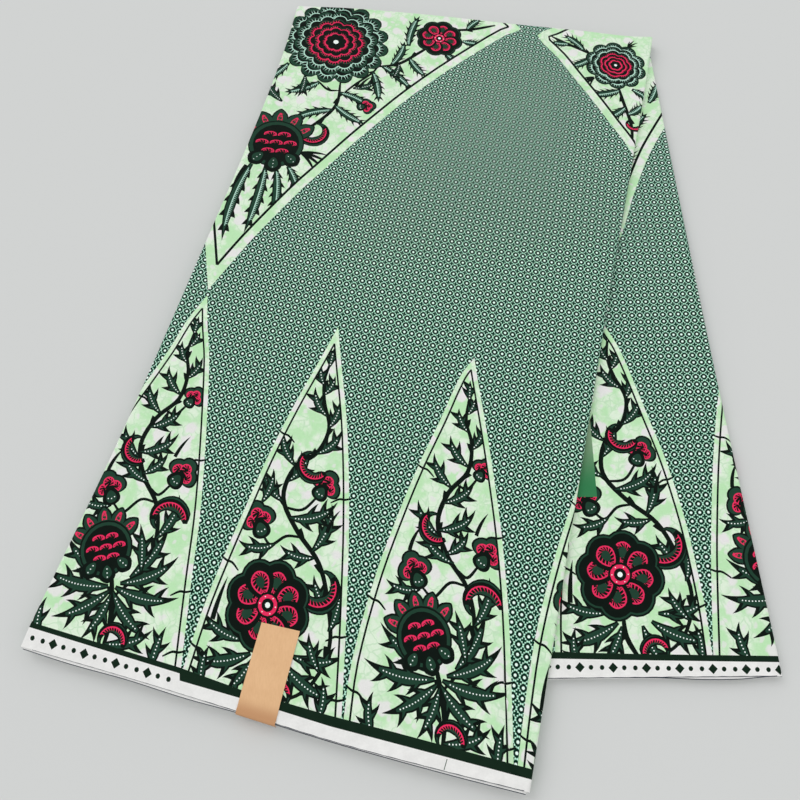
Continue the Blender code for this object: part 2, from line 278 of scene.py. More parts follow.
class FoldedSheet:
    """A thin sheet: a flat stretch in plan, and the cloth that rolls on under from its fold line.

    Its cutting plan is the flat stretch with the rolled cloth laid out beyond it.
    """

    def __init__(self, leaf, top_z, left_rolls):
        self.top_z = top_z
        left_inset = FOLD_RADIUS if left_rolls else 0.0
        start = FOLD_RADIUS / leaf.length
        down = [start + (1.0 - start) * step for step in shares(round(leaf.length / EDGE_STEP))]
        over = shares(round(LEAF_WIDTH / EDGE_STEP))
        left_side = [leaf.plan(0.0, share, left_inset, FOLD_RADIUS) for share in down]
        right_side = [leaf.plan(1.0, share, left_inset, FOLD_RADIUS) for share in down]
        far_side = [leaf.plan(step, start, left_inset, FOLD_RADIUS)[0] for step in over]
        hem = [leaf.plan(1.0 - step, 1.0, left_inset, FOLD_RADIUS)[0] for step in over]
        fold = [(point, leaf.up) for point in far_side]
        fold += self.corner(far_side[-1], leaf.up, right_side[0][1]) + right_side
        if left_rolls:
            left_fold = [(point, -along) for point, along in reversed(left_side)]
            fold = left_fold + self.corner(far_side[0], -left_side[0][1], leaf.up) + fold
            raw_edge, flat_end = hem, -1
        else:
            raw_edge = hem + [point for point, along in reversed(left_side[1:-1])]
            flat_end = len(raw_edge)
        self.fold = np.array([point for point, outward in fold])
        self.outward = np.array([outward for point, outward in fold])
        self.flat = np.vstack([self.fold, np.array(raw_edge[1:flat_end])])
        self.width = FOLD_RADIUS * FOLD_SWEEP
        self.outline = np.vstack([self.fold + self.outward * self.width, np.array(raw_edge)])

    def corner(self, point, first, last):
        """Directions that turn from one fold to the next."""
        steps = shares(CORNER_STEPS)[1:-1]
        return [(point, (first * (1.0 - step) + last * step).normalized()) for step in steps]

    def placed(self, points, depth):
        """Points of the cutting plan on the real sheet, at a depth below its face."""
        points = np.asarray(points, float)
        place = points.copy()
        height = np.full(len(points), self.top_z - depth)
        starts, spans = self.fold[:-1], np.diff(self.fold, axis=0)
        lengths = np.maximum((spans**2).sum(1), 1e-12)
        for chunk in np.array_split(np.arange(len(points)), 1 + len(points) // 2000):
            offset = points[chunk][:, None, :] - starts[None]
            along = np.clip((offset * spans[None]).sum(2) / lengths[None], 0.0, 1.0)
            nearest = starts[None] + spans[None] * along[..., None]
            distance = np.linalg.norm(points[chunk][:, None, :] - nearest, axis=2)
            best = distance.argmin(1)
            row = np.arange(len(chunk))
            base, reach = nearest[row, best], distance[row, best]
            outward = (points[chunk] - base) / np.maximum(reach, 1e-9)[:, None]
            beyond = (outward * self.outward[:-1][best]).sum(1) > 0.0
            rolled = beyond & (reach > 1e-7) & (reach < self.width * 1.02)
            angle = reach[rolled] / FOLD_RADIUS
            radius = FOLD_RADIUS - depth
            place[chunk[rolled]] = base[rolled] + outward[rolled] * (radius * np.sin(angle))[:, None]
            height[chunk[rolled]] = self.top_z - FOLD_RADIUS + radius * np.cos(angle)
        return np.column_stack([place, stack_lift(place, height)])


# The print's own measure is its small repeat: one ring of the ground along the
# selvedge, and one across the cloth towards it.
Chart = namedtuple("Chart", "start along across")
FRONT_CHART = Chart(np.array((0.00282, 0.00259)), np.array((0.0051095, -0.0013531)),
                    np.array((-0.0009804, -0.0055616)))


def from_chart(chart, points):
    points = np.asarray(points, float)
    return chart.start + points[:, :1] * chart.along + points[:, 1:] * chart.across


def to_chart(chart, points):
    return (points - chart.start) @ np.linalg.inv(np.array((chart.along, chart.across)))


# The raw_edge ink is painted shade: a thin dark line along the hems and rims, where the gaps between layers
# are shaded.
INKS = ("ring_ground", "mint_ground", "outline", "leaf_green", "crimson", "pale_dot", "band_green",
        "selvedge", "raw_edge", "green_patch", "feather")
Shape = namedtuple("Shape", "ink outline within", defaults=(None,))
CUT_SCALE = 1000.0
FACE_REACH = 1e-4
UNDERSIDE_REACH = 1e-5
SLIVER = 1e-12
UNDERSIDE_STRIDE = 3


def new_piece(name, points, faces):
    """An object of its own, from points and faces."""
    mesh = bpy.data.meshes.new(name)
    mesh.from_pydata(np.asarray(points).tolist(), [], faces)
    piece = bpy.data.objects.new(name, mesh)
    bpy.context.collection.objects.link(piece)
    return piece


def lay_print(piece, inks, places):
    """Gives each face its ink, and each corner its place on the print's chart."""
    mesh = piece.data
    mesh.polygons.foreach_set("material_index", np.asarray(inks, np.int32))
    corners = np.zeros(len(mesh.loops), np.int32)
    mesh.loops.foreach_get("vertex_index", corners)
    print_map = mesh.uv_layers.new(name="print")
    print_map.data.foreach_set("uv", np.asarray(places, np.float32)[corners].ravel())
    mesh.update()


def soften(piece, crease=CREASE_ANGLE):
    """Shades a piece smooth, apart from its sharp creases."""
    piece.data.shade_smooth()
    piece.data.set_sharp_from_angle(angle=crease)


def thicken(piece, thickness, rim_ink=0):
    """Gives an open sheet its thickness, below its face."""
    bpy.ops.object.select_all(action="DESELECT")
    bpy.context.view_layer.objects.active = piece
    wall = piece.modifiers.new("wall", "SOLIDIFY")
    wall.thickness = thickness
    wall.offset = -1.0
    wall.material_offset_rim = rim_ink
    bpy.ops.object.modifier_apply(modifier=wall.name)
    soften(piece)


def ring_of_edges(count):
    return [(k, (k + 1) % count) for k in range(count)]


def cut_plan(points, lines, outline, reach):
    """The triangles inside an outline, with edges along every line; points nearer than reach are one."""
    cut = delaunay_2d_cdt([Vector(point) * CUT_SCALE for point in points], lines, [], 0, reach, False)
    plan = np.array([vert[:] for vert in cut[0]]) / CUT_SCALE
    faces = np.array(cut[2])
    return plan, faces[turns_round(plan[faces].mean(1), outline) != 0]


def without_slivers(plan, faces):
    a, b, c = (plan[faces[:, k]] for k in range(3))
    signed = (b[:, 0] - a[:, 0]) * (c[:, 1] - a[:, 1]) - (c[:, 0] - a[:, 0]) * (b[:, 1] - a[:, 1])
    return faces[np.abs(signed) > SLIVER]


def printed_inks(middles, chart, shapes, outlines):
    """The ink of each triangle: that of the last shape that its middle lies in."""
    inks = np.full(len(middles), INKS.index("ring_ground"))
    panels = {id(shape.within): shape.within for shape in shapes if shape.within is not None}
    panels = {key: turns_round(middles, from_chart(chart, panel)) != 0 for key, panel in panels.items()}
    by_height = np.argsort(middles[:, 1])
    for shape, outline in zip(shapes, outlines):
        low, high = outline.min(0), outline.max(0)
        level = by_height[slice(*np.searchsorted(middles[:, 1], (low[1], high[1]), sorter=by_height))]
        near = level[(middles[level, 0] >= low[0]) & (middles[level, 0] <= high[0])]
        inside = near[turns_round(middles[near], outline) != 0]
        if shape.within is not None:
            inside = inside[panels[id(shape.within)][inside]]
        inks[inside] = INKS.index(shape.ink)
    return inks


def rim_loop(faces):
    """The points round the edge of a patch of triangles, in their order."""
    edges = {}
    for face in faces:
        for k in range(3):
            edges[(face[k], face[(k + 1) % 3])] = True
    rim = {start: end for start, end in edges if (end, start) not in edges}
    loop = [next(iter(rim))]
    while rim[loop[-1]] != loop[0]:
        loop.append(rim[loop[-1]])
    return loop


def plain_grid(sheet):
    """Points spread evenly over the flat stretch of a sheet."""
    low, high = sheet.outline.min(0), sheet.outline.max(0)
    across = np.arange(low[0], high[0], GRID_STEP)
    down = np.arange(low[1], high[1], GRID_STEP)
    grid = np.array([(x + (row % 2) * GRID_STEP / 2.0, y) for row, y in enumerate(down) for x in across])
    return grid[turns_round(grid, sheet.flat) != 0]


def printed_sheet(name, sheet, chart, shapes):
    """A closed thin sheet whose face is cut up along the edges of its printed shapes.

    A shape that has a panel to stay within prints only there.
    """
    points, lines = [], []

    def add_line(line, closed):
        edges = ring_of_edges(len(line)) if closed else ring_of_edges(len(line))[:-1]
        lines.extend((len(points) + start, len(points) + end) for start, end in edges)
        points.extend(tuple(point) for point in line)

    add_line(sheet.outline, True)
    add_line(sheet.fold, False)
    for row in range(1, FOLD_ROWS):
        add_line(sheet.fold + sheet.outward * (sheet.width * row / FOLD_ROWS), False)
    outlines = [from_chart(chart, shape.outline) for shape in shapes]
    for outline in outlines:
        add_line(outline, True)
    grid = plain_grid(sheet)
    points.extend(tuple(point) for point in grid)

    plan, faces = cut_plan(points, lines, sheet.outline, FACE_REACH)
    faces = without_slivers(plan, faces)
    inks = printed_inks(plan[faces].mean(1), chart, shapes, outlines)
    used, faces = np.unique(faces, return_inverse=True)
    faces = faces.reshape(-1, 3)
    plan = plan[used]
    loop = rim_loop(faces)
    rim = ring_of_edges(len(loop))
    under_points = np.vstack([plan[loop], grid[::UNDERSIDE_STRIDE]])
    under_plan, under_faces = cut_plan(under_points, rim, plan[loop], UNDERSIDE_REACH)

    first = len(plan)
    walls = [(loop[end], loop[start], first + start, first + end) for start, end in rim]
    piece = new_piece(name, np.vstack([sheet.placed(plan, 0.0), sheet.placed(under_plan, CLOTH)]),
                      faces.tolist() + walls + (under_faces[:, ::-1] + first).tolist())
    # The rim walls take the dark raw_edge ink: painted shade along the sheet's edges.
    inks = np.concatenate([inks, np.full(len(walls), INKS.index("raw_edge")),
                           np.full(len(under_faces), INKS.index("selvedge"))])
    lay_print(piece, inks, to_chart(chart, np.vstack([plan, under_plan])))
    soften(piece)
    return piece


class Paint:
    """A value on its way through a material, so that arithmetic on it adds its nodes."""

    def __init__(self, tree, source=None):
        self.tree = tree
        self.source = source

    def node(self, kind, settings=None, values=None, result=0):
        """Any other node: its type, its settings, and the values or links of its sockets."""
        made = self.tree.nodes.new(kind)
        for setting, value in (settings or {}).items():
            setattr(made, setting, value)
        for socket, value in (values or {}).items():
            if isinstance(value, Paint):
                self.tree.links.new(value.source, made.inputs[socket])
            else:
                made.inputs[socket].default_value = value
        return Paint(self.tree, made.outputs[result])

    def maths(self, operation, first, second=0.0):
        return self.node("ShaderNodeMath", {"operation": operation}, {0: first, 1: second})

    def __add__(self, other):
        return self.maths("ADD", self, other)

    __radd__ = __add__

    def __sub__(self, other):
        return self.maths("SUBTRACT", self, other)

    def __rsub__(self, other):
        return self.maths("SUBTRACT", other, self)

    def __mul__(self, other):
        return self.maths("MULTIPLY", self, other)

    __rmul__ = __mul__

    def __truediv__(self, other):
        return self.maths("DIVIDE", self, other)

    def __pow__(self, other):
        return self.maths("POWER", self, other)

    def __abs__(self):
        return self.maths("ABSOLUTE", self)

    def below(self, edge, soft):
        """1 under an edge and 0 over it, with a soft step."""
        span = {"From Min": edge - soft, "From Max": edge + soft, "To Min": 1.0, "To Max": 0.0, "Value": self}
        return self.node("ShaderNodeMapRange", {"interpolation_type": "SMOOTHSTEP"}, span)

    def blended(self, first, second):
        """Goes from one colour to another as this value goes from 0 to 1."""
        sockets = {0: self, 6: first, 7: second}
        return self.node("ShaderNodeMix", {"data_type": "RGBA"}, sockets, 2)

    def parts(self):
        """The X and the Y of this place."""
        split = self.node("ShaderNodeSeparateXYZ", values={0: self}).source.node
        return [Paint(self.tree, split.outputs[k]) for k in (0, 1)]

    def noise(self, scale, detail, roughness=0.5, result=0):
        """Cloudy noise at this place."""
        values = {"Vector": self, "Scale": scale, "Detail": detail, "Roughness": roughness}
        return self.node("ShaderNodeTexNoise", values=values, result=result)

    def cells(self, scale, feature="F1"):
        """Distances within scattered cells at this place."""
        values = {"Vector": self, "Scale": scale, "Randomness": 1.0}
        return self.node("ShaderNodeTexVoronoi", {"feature": feature}, values)

    def bumped(self, shader, strength, distance):
        """Raises this height on a shader's surface."""
        values = {"Strength": strength, "Distance": distance, "Height": self}
        bump = self.node("ShaderNodeBump", values=values)
        self.tree.links.new(bump.source, shader.inputs["Normal"])


def colour(red, green, blue):
    """A colour as a printer's chart gives it, 0 to 255, made linear."""
    steps = [value / 255.0 for value in (red, green, blue)]
    return tuple(s / 12.92 if s <= 0.04045 else ((s + 0.055) / 1.055)**2.4 for s in steps) + (1.0,)


DOT_WHITE = colour(230, 251, 241)
RING_BLACK = colour(2, 40, 26)
WEB_MINT = colour(154, 209, 182)
PEARL_MINT = colour(196, 242, 220)
STAR_GREEN = colour(6, 54, 36)
MINT_PATCH = colour(190, 232, 184)
MINT_PALE = colour(224, 241, 219)
MINT_LINE = colour(168, 214, 168)
WAX_WHITE = colour(233, 231, 231)
INK_BLACK = colour(4, 16, 10)
INK_GREEN = colour(28, 60, 45)
INK_CRIMSON = colour(222, 44, 90)
BAND_GREEN = colour(12, 34, 21)
SELVEDGE_WHITE = colour(223, 223, 221)
# Painted shade: the blue-grey of the thin dark lines at the hems and rims, standing in for the shadow in the
# gaps between layers.
HEM_SHADOW_INK = colour(46, 54, 66)
PATCH_GREEN = colour(54, 126, 80)
PATCH_GREY_END = colour(142, 168, 136)
FEATHER_MINT = colour(172, 212, 194)


THREAD = 0.0004
COTTON_ROUGHNESS = 0.72


class Cotton:
    """A printed cotton's material: its plain weave, its faint creases and the print's own chart."""

    def __init__(self, name):
        self.material = bpy.data.materials.new(name)
        self.material.use_nodes = True
        self.shader = self.material.node_tree.nodes["Principled BSDF"]
        self.shader.inputs["Roughness"].default_value = COTTON_ROUGHNESS
        self.shader.inputs["Specular IOR Level"].default_value = 0.05
        self.shader.inputs["Sheen Weight"].default_value = 0.008
        self.shader.inputs["Sheen Roughness"].default_value = 0.6
        self.paint = Paint(self.material.node_tree)
        self.place = self.paint.node("ShaderNodeTexCoord", result=3)
        warp, weft = (self.paint.maths("SINE", way * (2.0 * math.pi / THREAD)) for way in self.place.parts())
        self.slub = self.place.noise(900.0, 3.0)
        height = warp * weft * 0.25 + self.slub * 0.9 + self.place.noise(26.0, 4.0) * 2.2
        height.bumped(self.shader, 0.35, 0.00025)

    def chart(self):
        """Places counted in the print's small repeat."""
        return self.paint.node("ShaderNodeUVMap", {"uv_map": "print"})

    def coloured(self, tint):
        """Puts a colour on the cloth, a little uneven where the threads took the ink."""
        shade = 0.94 + self.slub * 0.12
        grey = self.paint.node("ShaderNodeCombineColor", values={0: shade, 1: shade, 2: shade})
        uneven = self.paint.node("ShaderNodeMix", {"data_type": "RGBA", "blend_type": "MULTIPLY"},
                                 {0: 1.0, 6: tint, 7: grey}, 2)
        self.paint.tree.links.new(uneven.source, self.shader.inputs["Base Color"])
        return self.material


def ring_ground_material():
    """The small repeat: a white dot in a black ring, in a web of mint pearls, with a star between."""
    cloth = Cotton("ring_ground")
    du, dv = (abs(way.maths("FRACT", way + 0.5) - 0.5) for way in cloth.chart().parts())
    radius = (du * du + dv * dv)**0.5
    ring = (du**1.5 + dv**1.5)**(2.0 / 3.0)
    tint = (du + dv).below(0.595, 0.02).blended(STAR_GREEN, WEB_MINT)
    for pearl_u, pearl_v in ((0.5, 0.12), (0.12, 0.5), (0.32, 0.32)):
        off = ((du - pearl_u) * (du - pearl_u) + (dv - pearl_v) * (dv - pearl_v))**0.5
        tint = off.below(0.078, 0.025).blended(tint, PEARL_MINT)
    tint = ring.below(0.43, 0.02).blended(tint, RING_BLACK)
    tint = radius.below(0.16, 0.02).blended(tint, DOT_WHITE)
    return cloth.coloured(tint)


def mint_ground_material():
    """The pale ground of the triangles, with the blots and bubbles of the wax in it."""
    cloth = Cotton("mint_ground")
    chart = cloth.chart()
    cloud = chart.noise(0.34, 4.0, 0.6)
    stir = chart.noise(0.9, 2.0, result=1)
    wavy = chart.node("ShaderNodeVectorMath", {"operation": "MULTIPLY_ADD"},
                      {0: stir, 1: (1.1, 1.1, 0.0), 2: chart})
    tint = cloud.below(0.50, 0.09).blended(MINT_PATCH, MINT_PALE)
    skins = wavy.cells(0.80, "DISTANCE_TO_EDGE").below(0.04, 0.04)
    tint = (skins * cloud.below(0.52, 0.06) * 0.45).blended(tint, MINT_LINE)
    white = wavy.cells(0.42).below(0.33, 0.08) + wavy.cells(0.80).below(0.24, 0.07) * 0.7
    tint = white.maths("MINIMUM", white * 0.9, 1.0).blended(tint, WAX_WHITE)
    return cloth.coloured(tint)


def plain_ink_material(name, tint):
    """One ink all over, a little lighter in patches."""
    cloth = Cotton(name)
    lighter = tuple(min(1.0, value * 1.25 + 0.004) for value in tint[:3]) + (1.0,)
    return cloth.coloured(cloth.place.noise(160.0, 3.0).blended(tint, lighter))


def green_patch_material():
    """A stretch of flat green ink, going to a grey green towards its far end."""
    cloth = Cotton("green_patch")
    across, down = cloth.chart().parts()
    return cloth.coloured(down.below(20.6, 4.2).blended(PATCH_GREEN, PATCH_GREY_END))


ink_materials = {
    "ring_ground": ring_ground_material(),
    "mint_ground": mint_ground_material(),
    "outline": plain_ink_material("outline_ink", INK_BLACK),
    "leaf_green": plain_ink_material("leaf_ink", INK_GREEN),
    "crimson": plain_ink_material("crimson_ink", INK_CRIMSON),
    "pale_dot": plain_ink_material("pale_dot_ink", DOT_WHITE),
    "band_green": plain_ink_material("band_ink", BAND_GREEN),
    "selvedge": plain_ink_material("bare_selvedge", SELVEDGE_WHITE),
    # Painted shade along the hems and rims, in the gaps between the layers.
    "raw_edge": plain_ink_material("hem_shadow_line_ink", HEM_SHADOW_INK),
    "green_patch": green_patch_material(),
    "feather": plain_ink_material("feather_ink", FEATHER_MINT),
}


def give_inks(piece, inks):
    for ink in inks:
        piece.data.materials.append(ink_materials[ink])


# Edges of the border triangles: rings down the chart from its start, and the rings
# across it at which the left and the right edge lie there
Edge = namedtuple("Edge", "place left right")
FRONT_TRIANGLES = (
    (Edge(6.1, -26.04, -26.04), Edge(10.2, -27.54, -24.7), Edge(14.6, -28.5, -23.05),
     Edge(21.7, -30.6, -21.05), Edge(28.1, -32.6, -19.41), Edge(34.1, -34.3, -18.06),
     Edge(39.8, -35.5, -17.06), Edge(49.5, -36.2, -15.2)),
    (Edge(6.4, -7.70, -7.70), Edge(11.1, -8.90, -6.2), Edge(18.1, -10.75, -3.9),
     Edge(25.0, -12.24, -2.05), Edge(31.4, -13.25, -0.6), Edge(36.2, -13.98, 0.33),
     Edge(42.5, -14.75, 1.48), Edge(49.5, -15.1, 2.65)),
    (Edge(6.4, 10.55, 10.55), Edge(9.1, 9.2, 11.35), Edge(15.5, 7.55, 13.4),
     Edge(21.2, 6.0, 15.1), Edge(27.2, 4.67, 16.75), Edge(35.0, 3.3, 18.5),
     Edge(43.9, 2.55, 20.02), Edge(49.8, 2.9, 20.9)),
    (Edge(6.4, 28.9, 28.9), Edge(12.0, 27.2, 30.6), Edge(19.6, 24.95, 33.5),
     Edge(28.1, 23.03, 36.0), Edge(36.5, 21.75, 38.5), Edge(43.0, 21.35, 40.0),
     Edge(49.5, 21.2, 41.0)),
)
TRIANGLE_BAND = 0.55
LINE_WIDTH = 0.22
LOOP_SHARE = 0.93
PANEL_STEPS = 26


def sideways(line):
    """The direction to the side of a line at each of its points."""
    run = np.gradient(line, axis=0)
    run /= np.maximum(np.linalg.norm(run, axis=1), 1e-9)[:, None]
    return np.column_stack([run[:, 1], -run[:, 0]])


def towards(angle):
    """The direction at an angle in degrees, clockwise from straight up the print."""
    return np.array((math.sin(math.radians(angle)), -math.cos(math.radians(angle))))


# How wide a leaf, a bud and a plume are along their length, as shares of their full width
ProfilePoint = namedtuple("ProfilePoint", "place width")
LEAF_PROFILE = (ProfilePoint(0.0, 0.26), ProfilePoint(0.1, 0.48), ProfilePoint(0.34, 0.96),
                ProfilePoint(0.54, 0.90), ProfilePoint(0.74, 0.50), ProfilePoint(0.88, 0.24),
                ProfilePoint(1.0, 0.02))
BUD_PROFILE = (ProfilePoint(0.0, 0.14), ProfilePoint(0.25, 0.55), ProfilePoint(0.62, 1.0),
               ProfilePoint(0.88, 0.8), ProfilePoint(1.0, 0.25))
PLUME_PROFILE = (ProfilePoint(0.0, 0.40), ProfilePoint(0.3, 0.95), ProfilePoint(0.62, 1.0),
                 ProfilePoint(0.86, 0.42), ProfilePoint(1.0, 0.02))


def width_along(steps, profile):
    return np.interp(steps, [point.place for point in profile], [point.width for point in profile])


def curve(points, per_span=5):
    """A smooth line through a few points."""
    points = np.array(points, float)
    padded = np.vstack([2.0 * points[0] - points[1], points, 2.0 * points[-1] - points[-2]])
    steps = np.linspace(0.0, 1.0, per_span, endpoint=False)[:, None]
    spans = []
    for before, start, end, after in zip(padded, padded[1:], padded[2:], padded[3:]):
        slope_in, slope_out = 0.5 * (end - before), 0.5 * (after - start)
        spans.append((2 * steps**3 - 3 * steps**2 + 1) * start + (steps**3 - 2 * steps**2 + steps) * slope_in
                     + (3 * steps**2 - 2 * steps**3) * end + (steps**3 - steps**2) * slope_out)
    return np.vstack(spans + [points[-1:]])


class Spray:
    """A spray of flowers and leaves, drawn as flat shapes of ink.

    Its places are rings to the right of its tip and rings below it; angles are in degrees
    clockwise from straight up.
    """

    def __init__(self, tip=(0.0, 0.0), lean=0.0, within=None):
        self.tip = np.array(tip, float)
        self.lean = lean
        self.within = within
        self.shapes = []

    def ink(self, ink, outline):
        outline = np.asarray(outline, float)
        side, down = outline[:, 0], outline[:, 1]
        placed = np.column_stack([self.tip[0] + side + self.lean * down, self.tip[1] + down])
        self.shapes.append(Shape(ink, placed, self.within))

    def ribbon(self, ink, line, half):
        """A line of ink, with its half width at each point."""
        side = sideways(line) * np.maximum(half, 0.01)[:, None]
        self.ink(ink, np.vstack([line + side, (line - side)[::-1]]))

    def stroke(self, ink, line, width, taper=0.35):
        line = np.asarray(line, float)
        swell = np.sin(math.pi * np.linspace(0.0, 1.0, len(line)))
        self.ribbon(ink, line, 0.5 * width * (taper + (1.0 - taper) * np.maximum(swell, 0.0)**0.6))

    def dot(self, ink, centre, radius, corners=6):
        turn = np.linspace(0.0, 2.0 * math.pi, corners, endpoint=False)
        self.ink(ink, np.asarray(centre) + radius * np.column_stack([np.cos(turn), np.sin(turn)]))

    def hook(self, ink, near, far, tip, bow):
        """A thorn between two points of an edge and its tip, bowed forwards."""
        near, far, tip, bow = (np.asarray(point, float) for point in (near, far, tip, bow))
        steps = np.linspace(0.0, 1.0, 5)[:, None]
        first, middle, last = (1 - steps)**2, 2 * steps * (1 - steps), steps**2
        rise = first * near + middle * (0.5 * (near + tip) + bow) + last * tip
        fall = first * tip + middle * (0.5 * (far + tip) + 0.8 * bow) + last * far
        self.ink(ink, np.vstack([rise, fall[1:]]))

    def comb(self, line, teeth, reach, side=1.0, ink="crimson", width=0.2):
        """A line of ink with fine teeth along one side."""
        line = np.asarray(line, float)
        self.stroke(ink, line, width, 0.7)
        out = sideways(line) * side
        run = np.gradient(line, axis=0)
        run /= np.maximum(np.linalg.norm(run, axis=1), 1e-9)[:, None]
        for place in np.linspace(0.04, 0.96, teeth) * (len(line) - 1):
            near = int(place)
            point = line[near] + (line[min(near + 1, len(line) - 1)] - line[near]) * (place - near)
            tooth = point + out[near] * reach + run[near] * 0.2 * reach
            self.ink(ink, [point - run[near] * 0.085, tooth, point + run[near] * 0.085])

    def path(self, base, angle, length, bend, count, ease=1.0):
        """A line that sets out at an angle and bends on its way."""
        steps = np.linspace(0.0, 1.0, count)
        heading = np.radians(angle + bend * steps**ease)
        run = np.column_stack([np.sin(heading), -np.cos(heading)])
        travel = np.cumsum(0.5 * (run[1:] + run[:-1]), axis=0) * length / (count - 1)
        return steps, np.asarray(base) + np.vstack([(0.0, 0.0), travel])

    def leaf(self, base, angle, length, bend=0.0):
        """A dark thorned leaf with a dotted vein, drawn out to a black point."""
        steps, spine = self.path(base, angle, length, bend, 14, 1.3)
        width = 0.60 + 0.13 * length
        thorns = 2 + round(0.32 * length)
        half = 0.5 * width * width_along(steps, LEAF_PROFILE)
        side = sideways(spine)

        def at(place, out):
            return np.array([np.interp(place, steps, spine[:, k] + out * side[:, k]) for k in (0, 1)])

        for ink, size in (("outline", 1.0), ("leaf_green", 0.36)):
            for k in range(thorns):
                turn = 1.0 if (k + thorns) % 2 else -1.0
                place = 0.18 + 0.54 * (k + 0.5) / thorns
                wide = np.interp(place, steps, half)
                ahead = at(place + 0.05, 0.0) - at(place - 0.05, 0.0)
                ahead /= np.linalg.norm(ahead)
                out = turn * np.array((ahead[1], -ahead[0]))
                spread = 0.56 / length * size
                tip = at(place, turn * wide) + (out * 0.68 + ahead * 1.02) * (0.58 + 0.50 * width) * size
                root = turn * wide * 0.5
                near, far = at(place - spread, root), at(place + spread, root)
                self.hook(ink, near, far, tip, out * 0.24 * width * size)
            last = 14 if ink == "outline" else 11
            self.ribbon(ink, spine[:last], half[:last] - (0.0 if ink == "outline" else 0.19))
        for place in np.arange(0.12, 0.74, 0.36 / length):
            self.dot("pale_dot", at(place, 0.0), 0.085, 5)

    def tendril(self, base, angle, length, bend):
        """A bare black thorn that curves to its point."""
        steps, spine = self.path(base, angle, length, bend, 9)
        self.ribbon("outline", spine, 0.13 * length**0.5 * (1.0 - steps)**0.85 * (1.0 + 0.9 * steps))

    def fan(self, base, angle, length, bend):
        """Four bare thorns spread from one place."""
        for turn in (-27.0, -9.0, 9.0, 27.0):
            self.tendril(base, angle + turn, length - 0.03 * abs(turn), bend)

    def petal(self, centre, angle, start, end, width, point=0.0, count=20):
        """The outline of a petal that points away from a centre."""
        out = towards(angle)
        turn = np.linspace(0.0, 2.0 * math.pi, count, endpoint=False) - math.pi
        lie = np.cos(turn)
        along = 0.5 * (start + end) + 0.5 * (end - start) * lie
        across = 0.5 * width * np.sin(turn) * (1.0 + 0.28 * lie) * (1.0 - point * np.maximum(lie, 0.0)**3)
        return np.asarray(centre) + along[:, None] * out + across[:, None] * np.array((-out[1], out[0]))

    def rounded_flower(self, centre, radius, petals, start_angle=0.0):
        """An open flower of rounded petals, each with a crimson comb round its heart."""
        wide = 2.35 * radius * math.sin(math.pi / petals)
        angles = [start_angle + 360.0 * k / petals for k in range(petals)]
        for ink, start, shrink in (("outline", 0.1, 0.0), ("leaf_green", 0.15, 0.2)):
            for angle in angles:
                self.ink(ink, self.petal(centre, angle, start * radius, radius - shrink,
                                         wide * 0.86 - 2.0 * shrink, 0.15))
        for angle in angles:
            heart = self.petal(centre, angle, 0.24 * radius, radius * 0.72, wide * 0.42, 0.3)
            self.ink("outline", self.petal(centre, angle, 0.12 * radius, radius * 0.92, wide * 0.74, 0.2))
            self.comb(np.vstack([heart, heart[:1]]), 16, 0.125 * radius, -1.0, width=0.17)
            vein = self.petal(centre, angle, 0.36 * radius, radius * 0.62, wide * 0.22, 0.4, 12)
            self.ink("leaf_green", vein)
        self.dot("outline", centre, 0.27 * radius, 14)
        self.dot("crimson", centre, 0.22 * radius, 14)
        self.dot("outline", centre, 0.14 * radius, 12)
        for k in range(6):
            turn = math.radians(60.0 * k)
            seed = np.asarray(centre) + 0.18 * radius * np.array((math.cos(turn), math.sin(turn)))
            self.dot("pale_dot", seed, 0.07, 5)
        self.dot("pale_dot", centre, 0.06 * radius, 8)

    def lobed_flower(self, centre, angle, size):
        """A small flower seen from its side: three lobes over a dotted cup."""
        lobes = ((-52.0, 0.95), (52.0, 0.95), (0.0, 1.15))
        below = angle + 180.0
        for ink, shrink in (("outline", 0.0), ("leaf_green", 0.2)):
            for turn, reach in lobes:
                lobe = self.petal(centre, angle + turn, 0.0, size * reach - shrink, size * 0.92 - 2 * shrink)
                self.ink(ink, lobe)
        for turn, reach in lobes:
            heart = self.petal(centre, angle + turn, 0.05 * size, size * reach * 0.66, size * 0.5)
            self.ink("outline", heart)
            self.comb(heart[4:17], 7, 0.24 * size, -1.0, width=0.15)
        self.ink("outline", self.petal(centre, below, -0.28 * size, 0.62 * size, 0.86 * size))
        self.ink("leaf_green", self.petal(centre, below, -0.1 * size, 0.5 * size, 0.5 * size))
        for turn in (-32.0, 0.0, 32.0):
            self.dot("pale_dot", self.petal(centre, below + turn, 0.3 * size, 0.34 * size, 0.02)[0], 0.08, 5)

    def curled_bud(self, base, angle, size, turn=1.0):
        """A bud on a curled stalk, with a crimson comb along its back."""
        steps, spine = self.path(base, angle, size * 3.5, turn * 250.0, 18, 0.8)
        half = size * 0.42 * width_along(steps, BUD_PROFILE)
        for ink, shrink in (("outline", 0.0), ("leaf_green", 0.17)):
            self.ribbon(ink, spine, half - shrink)
        back = spine + sideways(spine) * (half * 0.1)[:, None] * turn
        self.stroke("outline", back[3:], 0.40 * size, 0.6)
        self.comb(back[4:17], 13, 0.26 * size, -turn, width=0.15)

    def vine(self, points, width=0.56):
        """A black stem with small thorns on both sides."""
        line = curve(points)
        self.stroke("outline", line, width, 0.45)
        out = sideways(line)
        for k in range(4, len(line) - 3, 5):
            turn = 1.0 if k % 2 else -1.0
            ahead = line[k + 1] - line[k]
            ahead /= np.linalg.norm(ahead)
            tip = line[k] + out[k] * turn * 0.62 + ahead * 0.75
            self.hook("outline", line[k - 1], line[k + 1], tip, out[k] * turn * 0.14)

    def scalloped(self, centre, radius, lobes, depth, start):
        """The outline of a disc with rounded lobes."""
        count = lobes * 6
        turn = np.radians(start + 360.0 * np.arange(count) / count)
        bump = np.abs(np.sin(0.5 * lobes * np.radians(360.0) * np.arange(count) / count))
        reach = radius * (1.0 - depth + depth * bump**0.7)
        return np.asarray(centre) + reach[:, None] * np.column_stack([np.sin(turn), -np.cos(turn)])

